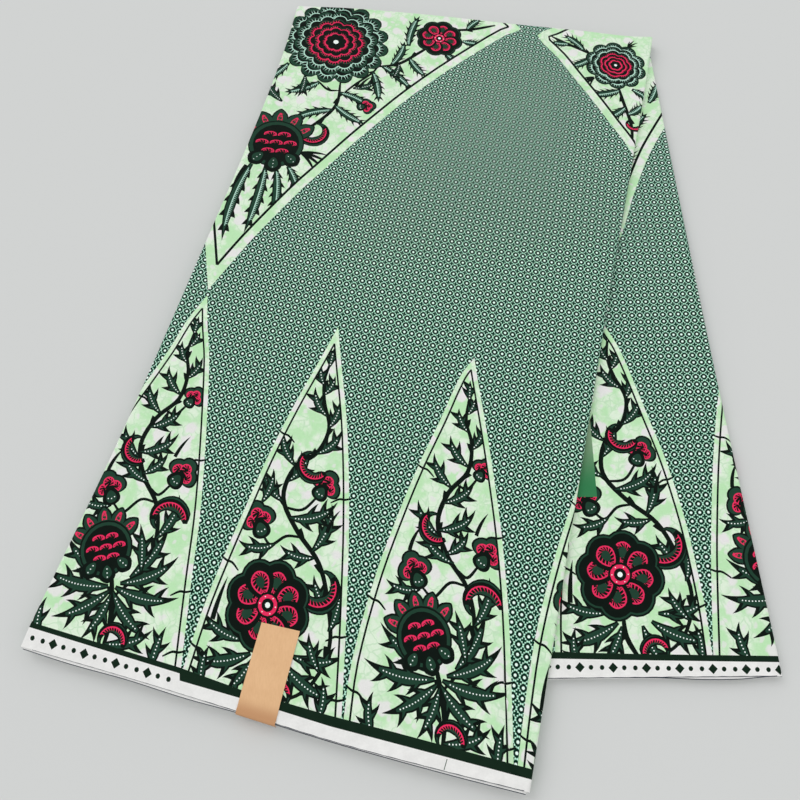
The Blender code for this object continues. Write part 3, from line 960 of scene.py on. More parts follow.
    def pomegranate(self, centre, angle, radius):
        """A pomegranate: a crown of pointed sepals over a round fruit with rows of crimson scales."""
        for ink, shrink in (("outline", 0.0), ("leaf_green", 0.2)):
            for turn in (-56.0, -28.0, 28.0, 56.0, 0.0):
                self.ink(ink, self.petal(centre, angle + turn, 0.4 * radius, 1.55 * radius - shrink,
                                         0.62 * radius - 2.0 * shrink, 0.55))
        for turn in (-56.0, -28.0, 0.0, 28.0, 56.0):
            heart = self.petal(centre, angle + turn, 0.7 * radius, 1.34 * radius, 0.16 * radius, 0.5)
            self.comb(heart[5:16], 7, 0.11 * radius, -1.0, width=0.13)
        self.dot("outline", centre, radius, 24)
        self.dot("leaf_green", centre, radius - 0.2, 24)
        self.dot("outline", centre, 0.82 * radius, 22)
        up = towards(angle)
        right = np.array((-up[1], up[0]))
        for row, scales in ((0.34, 2), (-0.02, 3), (-0.38, 2)):
            for k in range(scales):
                beside = (k - 0.5 * (scales - 1)) * 0.50
                place = np.asarray(centre) + up * row * radius + right * beside * radius
                arc = self.petal(place, angle, -0.16 * radius, 0.16 * radius, 0.42 * radius)
                self.comb(arc[5:16], 7, 0.15 * radius, -1.0, width=0.15)
        for turn in (-44.0, 0.0, 44.0):
            below = angle + 180.0 + turn
            for ink, start, end, width in (("outline", 0.52, 1.22, 0.6), ("leaf_green", 0.60, 1.06, 0.34)):
                self.ink(ink, self.petal(centre, below, start * radius, end * radius, width * radius, 0.5))
            for place in (0.72, 0.86, 1.0):
                self.dot("pale_dot", self.petal(centre, below, 0.0, place * radius, 0.01)[10], 0.08, 5)

    def layered_flower(self, centre, radius, lobes):
        """A full round flower: rings of scalloped petals, feathered pale outside and crimson within."""
        for share, ink, tooth in ((1.0, "feather", 0.095), (0.80, "feather", 0.085), (0.60, "crimson", 0.065),
                                  (0.43, "crimson", 0.06), (0.26, "crimson", 0.05)):
            ring = radius * share
            count = max(6, round(lobes * (0.35 + 0.65 * share)))
            turned = 11.0 * share
            self.ink("outline", self.scalloped(centre, ring, count, 0.13, turned))
            self.ink("leaf_green", self.scalloped(centre, ring - 0.2, count, 0.13, turned))
            comb_line = self.scalloped(centre, ring * 0.84 - 0.1, count, 0.13, turned)
            self.ink("outline", self.scalloped(centre, ring * 0.91, count, 0.13, turned))
            self.comb(np.vstack([comb_line, comb_line[:1]]), count * 7, radius * tooth, 1.0, ink, 0.19)
        self.dot("outline", centre, 0.13 * radius, 12)
        self.dot("pale_dot", centre, 0.05 * radius, 8)

    def feather(self, base, angle, length, bend):
        """A long plume with a pale barbed rib."""
        width = 1.2 + 0.025 * length
        steps, spine = self.path(base, angle, length, bend, 18)
        half = 0.5 * width * width_along(steps, PLUME_PROFILE)
        side = sideways(spine)
        for k in range(2, 15, 3):
            ahead = (spine[k + 1] - spine[k]) * (len(spine) - 1) / length
            for turn in (1.0, -1.0):
                out = side[k] * turn * half[k]
                self.hook("outline", spine[k - 1] + out * 0.5, spine[k + 1] + out * 0.6,
                          spine[k] + out * 1.1 + side[k] * turn * 0.42 + ahead * 0.9, out * 0.3)
        for ink, shrink in (("outline", 0.0), ("leaf_green", 0.18)):
            self.ribbon(ink, spine, half - shrink)
        self.comb(spine[1:15], round(length / 0.42), width * 0.30, 1.0, "feather", 0.13)


# What a vine carries, by its place in the spray
Sprig = namedtuple("Sprig", "kind side down angle size bend")


def grow(spray, sprigs):
    """Draws each sprig in its order, so that later ones lie over earlier ones."""
    drawn = {"leaf": spray.leaf, "plume": spray.feather, "bud": spray.curled_bud, "thorn": spray.tendril,
             "fan": spray.fan}
    for sprig in sprigs:
        place = np.array((sprig.side, sprig.down))
        if sprig.kind == "lobed":
            spray.lobed_flower(place, sprig.angle, sprig.size)
        else:
            drawn[sprig.kind](place, sprig.angle, sprig.size, sprig.bend)


OPEN_FLOWER_STEMS = (
    ((1.6, 43.4), (4.9, 41.0), (6.3, 36.8), (5.2, 32.4), (3.4, 28.8), (0.2, 26.0), (-2.2, 22.8), (-1.7, 19.2),
     (0.7, 16.6), (1.5, 13.4), (0.3, 10.4), (-0.3, 7.6), (0.1, 4.4)),
    ((-1.4, 38.6), (-1.2, 41.0), (0.2, 43.6)),
)
OPEN_FLOWER_STALKS = (
    ((0.9, 26.6), (-0.9, 26.9), (-2.4, 28.2), (-3.6, 27.4)),
    ((-1.9, 23.8), (0.3, 23.6), (1.8, 21.7)),
)
OPEN_FLOWER_SPRIGS = (
    Sprig("leaf", 1.6, 39.4, 128.0, 6.8, -44.0),
    Sprig("leaf", 2.4, 38.6, 98.0, 6.0, -50.0),
    Sprig("leaf", -2.0, 39.4, -124.0, 7.0, 44.0),
    Sprig("leaf", -3.2, 38.4, -92.0, 5.6, 50.0),
    Sprig("leaf", -1.6, 39.8, -160.0, 4.8, 30.0),
    Sprig("leaf", 0.6, 39.8, 166.0, 4.6, -26.0),
    Sprig("leaf", -6.4, 43.8, -22.0, 4.2, 44.0),
    Sprig("leaf", 6.4, 43.8, 14.0, 4.2, -44.0),
    Sprig("bud", 2.6, 43.2, 62.0, 1.5, -1.0),
    Sprig("thorn", -3.4, 43.9, -6.0, 3.0, 40.0),
    Sprig("thorn", -7.0, 37.2, 2.0, 4.6, 10.0),
    Sprig("leaf", 5.7, 39.4, -46.0, 4.0, 40.0),
    Sprig("leaf", 5.9, 35.4, 20.0, 5.4, -44.0),
    Sprig("leaf", 5.6, 33.4, -56.0, 4.2, 44.0),
    Sprig("bud", 4.0, 29.6, 70.0, 2.3, 1.0),
    Sprig("leaf", 2.4, 27.8, 34.0, 6.0, -50.0),
    Sprig("leaf", 2.8, 28.4, -110.0, 4.4, 60.0),
    Sprig("lobed", -4.2, 26.4, -30.0, 2.5, 0.0),
    Sprig("leaf", -1.0, 24.8, 88.0, 6.4, -64.0),
    Sprig("lobed", 2.2, 20.8, 26.0, 2.3, 0.0),
    Sprig("leaf", -2.2, 23.2, -66.0, 4.8, 60.0),
    Sprig("leaf", -2.1, 20.8, 44.0, 4.6, -44.0),
    Sprig("leaf", -1.7, 18.8, -52.0, 4.8, 50.0),
    Sprig("leaf", 0.6, 16.8, 60.0, 4.6, -58.0),
    Sprig("bud", 0.3, 16.8, -78.0, 1.9, -1.0),
    Sprig("leaf", 1.4, 13.4, 30.0, 4.0, -44.0),
    Sprig("leaf", 1.0, 12.0, -58.0, 4.2, 56.0),
    Sprig("leaf", 0.0, 9.4, 38.0, 3.0, -44.0),
    Sprig("leaf", -0.2, 8.2, -36.0, 2.8, 40.0),
    Sprig("leaf", 0.0, 5.6, 2.0, 2.6, 0.0),
    Sprig("leaf", -2.0, 28.0, -128.0, 4.6, 70.0),
    Sprig("leaf", -4.6, 23.9, 24.0, 4.2, -40.0),
    Sprig("thorn", 3.7, 25.4, 6.0, 3.0, 30.0),
)
FRUIT_STEMS = (
    ((1.4, 43.8), (1.3, 40.6), (0.2, 37.0), (-0.8, 35.0)),
    ((0.6, 38.2), (2.8, 34.8), (3.4, 31.0), (2.2, 27.4), (-0.4, 24.6), (-2.0, 21.2), (-1.2, 17.6), (0.8, 14.6),
     (0.9, 11.2), (-0.1, 8.4), (0.0, 5.0)),
)
FRUIT_STALKS = (
    ((2.0, 27.2), (0.2, 27.3), (-1.4, 29.2), (-2.8, 28.5)),
    ((0.9, 25.8), (2.1, 26.3), (3.2, 24.8)),
    ((-0.4, 16.4), (1.0, 16.6), (2.0, 15.2)),
)
FRUIT_SPRIGS = (
    Sprig("leaf", -0.4, 36.5, -76.0, 7.4, 32.0),
    Sprig("leaf", -0.2, 37.1, -106.0, 8.0, 40.0),
    Sprig("leaf", 0.1, 37.5, -142.0, 6.8, 36.0),
    Sprig("leaf", 0.4, 37.8, -174.0, 5.4, 30.0),
    Sprig("leaf", 0.5, 37.5, 138.0, 6.8, -36.0),
    Sprig("leaf", 0.6, 37.0, 104.0, 7.6, -44.0),
    Sprig("leaf", 1.0, 36.5, 72.0, 7.2, -44.0),
    Sprig("leaf", 1.9, 35.7, 36.0, 6.8, -30.0),
    Sprig("leaf", 2.9, 34.8, -14.0, 5.2, -14.0),
    Sprig("leaf", -3.0, 28.7, -116.0, 4.2, 64.0),
    Sprig("leaf", 1.4, 42.6, 84.0, 5.6, -50.0),
    Sprig("bud", 1.2, 43.0, -66.0, 1.6, 1.0),
    Sprig("leaf", -5.8, 43.9, -34.0, 4.4, 56.0),
    Sprig("leaf", 7.2, 43.8, -6.0, 4.4, 24.0),
    Sprig("leaf", 3.4, 31.0, 34.0, 5.6, -50.0),
    Sprig("bud", 3.2, 30.0, -78.0, 2.2, 1.0),
    Sprig("lobed", -3.6, 27.4, -30.0, 2.4, 0.0),
    Sprig("lobed", 3.8, 23.8, 30.0, 2.4, 0.0),
    Sprig("leaf", 0.4, 25.2, -80.0, 5.2, 60.0),
    Sprig("leaf", -0.6, 24.4, 60.0, 4.0, -56.0),
    Sprig("leaf", -1.8, 22.6, -64.0, 4.6, 56.0),
    Sprig("leaf", -1.8, 22.0, 78.0, 5.4, -62.0),
    Sprig("bud", -2.0, 20.4, -60.0, 1.8, -1.0),
    Sprig("leaf", -1.6, 18.8, 70.0, 4.8, -56.0),
    Sprig("leaf", -0.9, 16.9, -60.0, 4.6, 56.0),
    Sprig("lobed", 2.4, 14.4, 26.0, 1.8, 0.0),
    Sprig("leaf", 0.8, 14.0, -64.0, 4.4, 60.0),
    Sprig("leaf", 1.0, 11.8, 38.0, 3.4, -44.0),
    Sprig("leaf", 0.3, 9.8, -50.0, 3.2, 50.0),
    Sprig("leaf", 0.0, 7.6, 32.0, 2.4, -34.0),
    Sprig("leaf", 0.0, 5.8, -4.0, 2.6, 0.0),
    Sprig("thorn", -4.8, 25.0, 4.0, 3.2, 30.0),
    Sprig("thorn", 2.6, 21.6, 10.0, 3.0, 24.0),
)
# Where a thin line of the spray runs out over the edge: the side, and rings below the tip
CROSSING_LINES = ((-1.0, 15.4), (1.0, 21.3), (-1.0, 31.0), (1.0, 35.6), (-1.0, 40.2), (1.0, 41.5))


def grown_spray(spray, stems, stalks, sprigs):
    for stem in stems:
        spray.vine(stem)
    for stalk in stalks:
        spray.stroke("outline", curve(stalk), 0.34, 0.7)
    grow(spray, sprigs)
    return spray


def open_flower_spray(tip, lean, within):
    """The spray of the second and fourth triangles: one open flower low down, on a winding vine."""
    spray = grown_spray(Spray(tip, lean, within), OPEN_FLOWER_STEMS, OPEN_FLOWER_STALKS, OPEN_FLOWER_SPRIGS)
    spray.rounded_flower((-1.3, 34.4), 5.0, 8, 12.0)
    return spray.shapes


def fruit_spray(tip, lean, within):
    """The spray of the other triangles: a pomegranate low down among leaves."""
    spray = grown_spray(Spray(tip, lean, within), FRUIT_STEMS, FRUIT_STALKS, FRUIT_SPRIGS)
    spray.pomegranate((-1.9, 33.4), -24.0, 3.1)
    return spray.shapes


def panel_side(rows, column, inset, down):
    """One side of a triangle or lozenge, drawn in by an inset, from its tip on."""
    span = rows[-1].place - rows[0].place
    places = {rows[0].place + span * step**1.2 for step in shares(PANEL_STEPS)}
    places = sorted(places.union(row.place for row in rows))
    line = np.array([(table_value(rows, place, column), down * place) for place in places])
    return line + sideways(line) * inset * (-down if column == "right" else down)


def panel(rows, band, down=1.0, line_width=LINE_WIDTH):
    """A triangle's or lozenge's pale ground and black line, and the room inside that line."""
    right, left = (panel_side(rows, column, 0.0, down) for column in ("right", "left"))
    shapes = [Shape("mint_ground", np.vstack([right, left[:0:-1]]))]
    inner = []
    for column, other_column in (("right", "left"), ("left", "right")):
        inset = band + 0.5 * line_width
        line, other = (panel_side(rows, name, inset, down) for name in (column, other_column))
        gap = (line[:, 0] - other[:, 0]) * (1.0 if column == "right" else -1.0)
        first = int(np.argmax(gap > 0.0))
        if first:
            share = gap[first] / (gap[first] - gap[first - 1])
            line = np.vstack([line[first] + (line[first - 1] - line[first]) * share, line[first:]])
        # Where the edge turns sharply, the points that loop back towards it are left out
        edge = panel_side(rows, column, 0.0, down)
        away = np.linalg.norm(line[:, None] - edge[None], axis=2).min(1)
        line = line[away >= LOOP_SHARE * inset]
        out = sideways(line) * 0.5 * line_width * (down if column == "right" else -down)
        shapes.append(Shape("outline", np.vstack([line + out, (line - out)[::-1]])))
        inner.append(line - out)
    return shapes, np.vstack([inner[0], inner[1][::-1]])


def crossing_lines(rows):
    """Thin lines that run from a triangle's leaves over its black line and pale band."""
    lines = Spray()
    for turn, down in CROSSING_LINES:
        place = rows[0].place + down
        edge = table_value(rows, place, "right" if turn > 0.0 else "left")
        line = ((edge - 2.1 * turn, place + 0.75), (edge - 1.2 * turn, place + 0.1),
                (edge - 0.5 * turn, place), (edge + 0.3 * turn, place - 0.35))
        lines.stroke("outline", curve(line), 0.26, 0.5)
    return lines.shapes


SPRAYS = (fruit_spray, open_flower_spray, fruit_spray, open_flower_spray)
SPRAY_LEANS = (0.008, 0.034, 0.034, 0.034)
front_shapes = []
for rows, spray, lean in zip(FRONT_TRIANGLES, SPRAYS, SPRAY_LEANS):
    ground, within = panel(rows, TRIANGLE_BAND)
    front_shapes += ground + crossing_lines(rows) + spray((rows[0].left, rows[0].place), lean, within)

# The lozenges lie across the mid-width fold; their rows run from the near corner to that
# fold, with the place counted away from the hem
FIRST_LOZENGE = (
    Edge(-5.3, -26.2, -26.2), Edge(3.1, -29.4, -22.8), Edge(8.4, -31.5, -20.3),
    Edge(13.7, -33.6, -17.6), Edge(18.7, -35.6, -14.7), Edge(23.8, -37.6, -11.8),
    Edge(28.9, -39.6, -8.7), Edge(34.1, -41.6, -5.4), Edge(39.9, -43.6, -1.2),
    Edge(44.9, -45.6, 2.8), Edge(50.5, -47.6, 7.6), Edge(52.4, -48.4, 9.9),
    Edge(53.5, -49.0, 8.7), Edge(57.0, -50.0, 4.6),
)
SECOND_LOZENGE = (
    Edge(27.0, 31.6, 60.0), Edge(33.15, 27.82, 60.0), Edge(35.98, 25.65, 60.0),
    Edge(40.06, 22.52, 60.0), Edge(43.97, 19.28, 60.0), Edge(47.59, 16.4, 60.0),
    Edge(51.75, 12.7, 60.0), Edge(53.98, 15.0, 60.0), Edge(57.0, 18.2, 60.0),
)
LOZENGE_BAND = 1.25
LOZENGE_LINE = 0.36

ground, within = panel(FIRST_LOZENGE, LOZENGE_BAND, -1.0, LOZENGE_LINE)
first_flowers = Spray(within=within)
first_flowers.vine(((-12.0, -38.8), (-8.6, -40.2), (-6.0, -43.0), (-4.0, -45.4)))
first_flowers.vine(((-1.4, -49.4), (2.0, -50.4), (5.6, -52.2)))
first_flowers.vine(((-16.8, -34.4), (-16.4, -29.8), (-18.4, -25.8), (-21.4, -22.4)))
first_flowers.vine(((-11.6, -39.0), (-12.4, -37.2), (-14.6, -34.2), (-16.4, -31.2)), 0.4)
first_flowers.vine(((-16.7, -32.6), (-18.4, -32.4), (-20.4, -33.8)), 0.4)
grow(first_flowers, (
    Sprig("plume", -11.0, -39.2, 112.0, 6.8, 26.0),
    Sprig("plume", -9.6, -39.8, 30.0, 5.6, -36.0),
    Sprig("plume", -7.0, -41.8, 146.0, 4.6, -24.0),
    Sprig("plume", -12.2, -37.6, 150.0, 6.2, 20.0),
    Sprig("plume", -7.6, -44.4, -10.0, 7.0, 30.0),
    Sprig("plume", 0.8, -47.4, 96.0, 3.2, -20.0),
    Sprig("plume", 1.2, -50.2, 20.0, 3.4, 30.0),
    Sprig("plume", -1.6, -44.4, 140.0, 3.4, -40.0),
    Sprig("leaf", -8.4, -40.4, 176.0, 3.6, 30.0),
    Sprig("leaf", -14.6, -33.6, 74.0, 4.4, -40.0),
    Sprig("plume", -16.4, -32.2, 92.0, 6.6, 38.0),
    Sprig("plume", -16.6, -29.6, 128.0, 6.0, -26.0),
    Sprig("plume", -16.8, -28.6, -104.0, 7.0, -34.0),
    Sprig("plume", -20.0, -33.6, -136.0, 6.0, 24.0),
    Sprig("bud", -18.6, -25.4, 66.0, 2.2, 1.0),
    Sprig("lobed", -12.2, -30.4, 70.0, 1.8, 0.0),
    Sprig("plume", -25.8, -36.2, -158.0, 6.4, 30.0),
    Sprig("plume", -27.6, -39.0, -150.0, 5.6, 24.0),
    Sprig("leaf", -22.6, -34.4, 168.0, 4.6, 30.0),
    Sprig("thorn", -13.6, -34.0, 10.0, 3.2, 40.0),
    Sprig("leaf", -24.8, -28.4, -60.0, 5.6, 40.0),
    Sprig("leaf", -27.6, -22.4, -40.0, 4.8, 40.0),
    Sprig("fan", -19.4, -19.6, 96.0, 5.0, 30.0),
    Sprig("plume", -20.8, -16.8, 138.0, 6.4, 24.0),
    Sprig("plume", -22.4, -16.0, 158.0, 9.0, 22.0),
    Sprig("plume", -24.0, -16.0, 174.0, 11.6, 12.0),
    Sprig("plume", -26.2, -16.0, 194.0, 13.6, -24.0),
    Sprig("thorn", -26.9, -15.6, 200.0, 5.0, -20.0),
))
first_flowers.pomegranate((-23.6, -20.4), -8.0, 4.3)
first_flowers.layered_flower((-19.4, -42.4), 8.8, 16)
first_flowers.rounded_flower((-3.0, -47.2), 3.9, 8, 8.0)
front_shapes += ground + first_flowers.shapes

ground, within = panel(SECOND_LOZENGE, LOZENGE_BAND, -1.0, LOZENGE_LINE)
second_flowers = Spray(within=within)
second_flowers.vine(((23.0, -49.0), (20.6, -50.0), (17.6, -51.0), (15.0, -52.0)))
second_flowers.vine(((26.0, -44.6), (27.2, -41.0), (28.6, -36.8), (29.0, -33.0)))
grow(second_flowers, (
    Sprig("plume", 21.6, -48.8, -146.0, 4.2, 34.0),
    Sprig("plume", 20.4, -50.2, -40.0, 4.4, -26.0),
    Sprig("plume", 17.8, -51.0, -104.0, 2.6, 20.0),
    Sprig("fan", 22.4, -44.8, -126.0, 3.0, -30.0),
    Sprig("plume", 26.6, -43.2, -128.0, 5.2, 30.0),
    Sprig("plume", 27.6, -40.0, -150.0, 4.2, 30.0),
    Sprig("plume", 28.0, -38.6, 60.0, 3.6, -40.0),
    Sprig("bud", 28.4, -37.6, -110.0, 1.2, -1.0),
    Sprig("fan", 27.4, -52.4, 20.0, 2.4, 30.0),
    Sprig("plume", 28.4, -43.8, 110.0, 4.2, 22.0),
))
second_flowers.layered_flower((25.6, -48.2), 4.9, 10)
front_shapes += ground + second_flowers.shapes

# The dark band and the selvedge beyond it, which is bare but for a plain row of lozenges and dots
FRONT_SELVEDGE = ((-45, 49.0), (-15.3, 49.3), (-8, 49.9), (2, 50.1), (28, 49.7), (28, 60), (-45, 60))
FRONT_BAND = (
    (-45, 48.5), (-33.0, 48.64), (-15.5, 48.92), (-8.5, 49.33), (1.4, 49.37), (8.4, 49.21), (22.8, 49.0),
    (30, 48.8), (30, 49.7), (22.7, 49.89), (1.6, 50.29), (-8.5, 50.09), (-15.1, 50.08), (-15.3, 49.45),
    (-33, 49.15), (-45, 49.0),
)
# A short green mark on the bare selvedge
FRONT_TICK = ((14.00, 50.2), (14.08, 50.2), (13.92, 51.2), (13.84, 51.2))
MarkRow = namedtuple("MarkRow", "numbers first step level slope start dot")
FRONT_MARKS = MarkRow(range(1, 15), -33.4, 1.22, 50.05, 0.012, -33.0, 0.26)
# The painted shadow line along a hem: how finely it is drawn, how its width wobbles, and how far it reaches
# past the edge.
HEM_SHADOW_STEPS = 40
HEM_SHADOW_WAVE = 2.4
HEM_SHADOW_FOOT = 0.0005


def selvedge_marks(row):
    """A plain row along a bare selvedge: two dots and a lozenge, over and over."""
    marks = Spray()
    for k in row.numbers:
        place = row.first + row.step * k
        size, corners = (row.dot, 8) if k % 3 else (2.0 * row.dot, 4)
        marks.dot("band_green", (place, row.level + row.slope * (place - row.start)), size, corners)
    return marks.shapes


def hem_shadow_line(leaf, chart, start, end, width):
    """A thin dark line painted along a leaf's hem, between two places across it: painted shade of the gap at
    the hem's edge.
    """
    steps = [start + (end - start) * step for step in shares(HEM_SHADOW_STEPS)]
    line = np.array([leaf.plan(step, 1.0, FOLD_RADIUS, FOLD_RADIUS)[0] for step in steps])
    up = np.array(leaf.up)
    reach = width * (0.75 + 0.25 * np.sin(np.arange(len(line)) * HEM_SHADOW_WAVE))[:, None] * up
    return Shape("raw_edge", to_chart(chart, np.vstack([line - HEM_SHADOW_FOOT * up, (line + reach)[::-1]])))


front = Leaf(front_edges, FRONT_HEM, FRONT_FOLD_BOW)
front_shapes += [Shape("selvedge", FRONT_SELVEDGE), Shape("band_green", FRONT_BAND)]
front_shapes += selvedge_marks(FRONT_MARKS) + [Shape("leaf_green", FRONT_TICK)]
# The front hem's painted shadow line, thinner on the left and wider to the right.
front_shapes.append(hem_shadow_line(front, FRONT_CHART, 0.02, 0.38, 0.00022))
front_shapes.append(hem_shadow_line(front, FRONT_CHART, 0.38, 0.995, 0.00040))
front_cloth = FoldedSheet(front, FRONT_TOP_Z, True)
front_leaf = printed_sheet("printed_front_leaf", front_cloth, FRONT_CHART, front_shapes)
give_inks(front_leaf, INKS)
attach(front_leaf, "root")
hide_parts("front_leaf")


# Doubled half of the front leaf.  The cloth below the mid-width fold, printed side down:
# its bare selvedge shows as a white strip beyond the front leaf's hem.
SHEET_GAP = 0.0002
UNDER_INSET = FOLD_RADIUS + GAP
UNDER_COLUMNS = 60
UNDER_ROWS = 70
# Depth of the last row at the hem, which takes the painted shadow line.
UNDER_SHADOW_ROW = 0.0004
FRONT_UNDER_HEM = (
    EdgeReach(0.00, 0.0010),
    EdgeReach(0.10, 0.0018),
    EdgeReach(0.22, 0.0015),
    EdgeReach(0.34, 0.0024),
    EdgeReach(0.45, 0.0021),
    EdgeReach(0.64, 0.0032),
    EdgeReach(0.85, 0.0027),
    EdgeReach(1.00, 0.0015),
)


def bare_sheet(name, leaf, top_z, left_inset):
    """The half of the cloth that lies under a printed leaf, face down."""
    start = UNDER_INSET / leaf.length
    end = 1.0 - UNDER_SHADOW_ROW / leaf.length
    rows = [start + (end - start) * (1.0 - (1.0 - row)**1.3) for row in shares(UNDER_ROWS - 1)] + [1.0]
    places = np.array([leaf.plan(column, row, left_inset, UNDER_INSET)[0]
                       for row in rows for column in shares(UNDER_COLUMNS)])
    heights = stack_lift(places, np.full(len(places), top_z))
    wide = UNDER_COLUMNS + 1
    corners = [row * wide + column for row in range(UNDER_ROWS) for column in range(UNDER_COLUMNS)]
    piece = new_piece(name, np.column_stack([places, heights]),
                      [(k, k + wide, k + wide + 1, k + 1) for k in corners])
    # The last thin row at the hem takes the dark raw_edge ink: a painted shadow line along the edge.
    for shadow_face in piece.data.polygons[-UNDER_COLUMNS:]:
        shadow_face.material_index = 1
    give_inks(piece, ("selvedge", "raw_edge"))
    # Its rim walls take the same dark ink: painted shade along its edges.
    thicken(piece, CLOTH, 1)
    return piece


front_under = Leaf(front_edges, FRONT_UNDER_HEM, FRONT_FOLD_BOW)
front_leaf_under = bare_sheet("bare_front_half", front_under, FRONT_TOP_Z - CLOTH - SHEET_GAP, UNDER_INSET)
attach(front_leaf_under, "root")
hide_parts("front_leaf_under")


# Side leaf.  The stretch that fans out from under the front leaf's right fold: the same
# cotton, further along its length, folded over at the right and at mid-width.
SIDE_CHART = Chart(np.array((0.17989, 0.00138)), np.array((0.005434, 0.0001908)),
                   np.array((-0.0001671, -0.0056212)))
SIDE_TRIANGLES = (
    (Edge(2.7, -7.00, -7.00), Edge(4.4, -8.3, -6.2), Edge(6.45, -8.9, -5.25),
     Edge(10.9, -10.2, -3.93), Edge(16.1, -11.4, -2.56), Edge(21.0, -12.4, -1.25),
     Edge(25.3, -13.4, -0.37),
     Edge(30.2, -14.3, 0.38), Edge(37.9, -15.2, 1.03), Edge(43.6, -15.5, 1.10)),
    (Edge(3.6, 11.0, 11.0), Edge(7.0, 9.0, 12.8), Edge(12.2, 6.82, 15.0),
     Edge(20.8, 4.71, 17.6), Edge(30.7, 2.89, 20.0), Edge(36.4, 2.06, 21.0),
     Edge(43.6, 1.15, 21.4)),
)
SIDE_LOZENGE = (
    Edge(4.0, -30.0, -6.0), Edge(11.61, -30.0, -2.75), Edge(16.68, -30.0, -0.99),
    Edge(20.96, -30.0, 0.71), Edge(25.44, -30.0, 2.76), Edge(32.0, -30.0, 6.6),
    Edge(38.0, -30.0, 10.4), Edge(44.0, -30.0, 14.6),
)

SIDE_SPRAY_TIPS = ((-6.5, 0.2), (11.0, 0.2))
SIDE_PATCH = ((-10.46, 16.0), (-9.64, 16.29), (-9.6, 25.81), (-11.91, 25.73))
SIDE_SELVEDGE = ((-30, 42.6), (-15.7, 42.85), (-5, 43.4), (9, 44.05), (30, 44.1), (30, 60), (-30, 60))
SIDE_BAND = (
    (-30, 42.0), (-15.7, 42.3), (-5, 42.9), (9, 43.55), (30, 43.6),
    (30, 44.2), (9, 44.15), (-5, 43.5), (-15.7, 42.95), (-30, 42.6),
)
SIDE_MARKS = MarkRow(range(22), -16.4, 1.16, 43.75, 0.046, -15.7, 0.25)

side_shapes = []
for rows, spray, tip in zip(SIDE_TRIANGLES, (open_flower_spray, fruit_spray), SIDE_SPRAY_TIPS):
    ground, within = panel(rows, TRIANGLE_BAND)
    side_shapes += ground + crossing_lines(rows) + spray(tip, 0.0, within)
ground, within = panel(SIDE_LOZENGE, LOZENGE_BAND, -1.0, LOZENGE_LINE)
side_leaves = Spray(within=within)
grow(side_leaves, (
    Sprig("plume", 0.2, -28.6, 20.0, 4.8, 30.0),
    Sprig("plume", -1.4, -22.6, 30.0, 4.0, -20.0),
    Sprig("plume", 3.4, -34.6, 36.0, 4.8, -26.0),
    Sprig("thorn", -1.6, -19.6, 20.0, 2.6, -40.0),
))
side_shapes += ground + side_leaves.shapes
side_shapes.append(Shape("green_patch", SIDE_PATCH))
side_shapes += [Shape("selvedge", SIDE_SELVEDGE), Shape("band_green", SIDE_BAND)]
side_shapes += selvedge_marks(SIDE_MARKS)

side = Leaf(side_edges, STRAIGHT, STRAIGHT)
side_shapes.append(hem_shadow_line(side, SIDE_CHART, 0.0, 0.99, 0.00040))
side_cloth = FoldedSheet(side, SIDE_TOP_Z, False)
side_leaf = printed_sheet("printed_side_leaf", side_cloth, SIDE_CHART, side_shapes)
give_inks(side_leaf, INKS)
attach(side_leaf, "root")
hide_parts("side_leaf")


# Doubled half of the side leaf.  It shows only as a thin white line beyond the side hem.
SIDE_UNDER_HEM = (
    EdgeReach(0.00, 0.0),
    EdgeReach(0.55, 0.0002),
    EdgeReach(0.72, 0.0014),
    EdgeReach(0.86, 0.0014),
    EdgeReach(0.95, 0.0003),
    EdgeReach(1.00, 0.0),
)

side_under = Leaf(side_edges, SIDE_UNDER_HEM, STRAIGHT)
side_leaf_under = bare_sheet("bare_side_half", side_under, SIDE_TOP_Z - CLOTH - SHEET_GAP, 0.0)
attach(side_leaf_under, "root")
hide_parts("side_leaf_under")


# Folded layers.  All the pleats under the two leaves that show: the same cotton laid to and
# fro, so that the sides are a stack of soft printed folds and the hem a stack of raw selvedges.
FoldedBlock = namedtuple("FoldedBlock", "leaf foot layers left_inset right_inset top_inset notch")
LAYER = 0.00052
SIDE_HEM_CLEAR = -0.2565
FOLDED_BLOCKS = (
    FoldedBlock(side, 0.0, 4, 0.004, 0.0, 0.0, 0.0),
    FoldedBlock(side, 4 * LAYER, 4, 0.004, 0.0030, 0.0030, 0.0),
    FoldedBlock(front, 0.0, 11, 0.0, 0.0, 0.0, TUCK + 0.001),
    FoldedBlock(front, 11 * LAYER + 0.0001, 5, 0.0030, 0.0030, 0.0030, 0.0),
)
FOLD_WANDER = 0.0011
HEM_WANDER = 0.0016
SIDE_STEPS = 48
FOLD_STEPS = 26
# From this layer of the front block up, its right side draws in to make room for the side leaf
NOTCH_LAYER = 4
# A layer's rounded edge: shares of its height, and how far in the edge lies there
EdgeLevel = namedtuple("EdgeLevel", "share squeeze")
EDGE_LEVELS = (EdgeLevel(0.0, 0.00022), EdgeLevel(0.25, 0.00004), EdgeLevel(0.5, 0.0),
               EdgeLevel(0.75, 0.00004), EdgeLevel(1.0, 0.00022))
FOLDED_INKS = ("ring_ground", "mint_ground", "selvedge")
PRINT_SHIFT = (2.37, 5.3)
FOLDED_CREASE = math.radians(60.0)


def wander(layer, salt, reach):
    """How far in a layer's edge lies: a fixed uneven order, the same at each run."""
    return reach * (0.5 + 0.5 * math.sin(layer * 12.9898 + salt * 78.233))


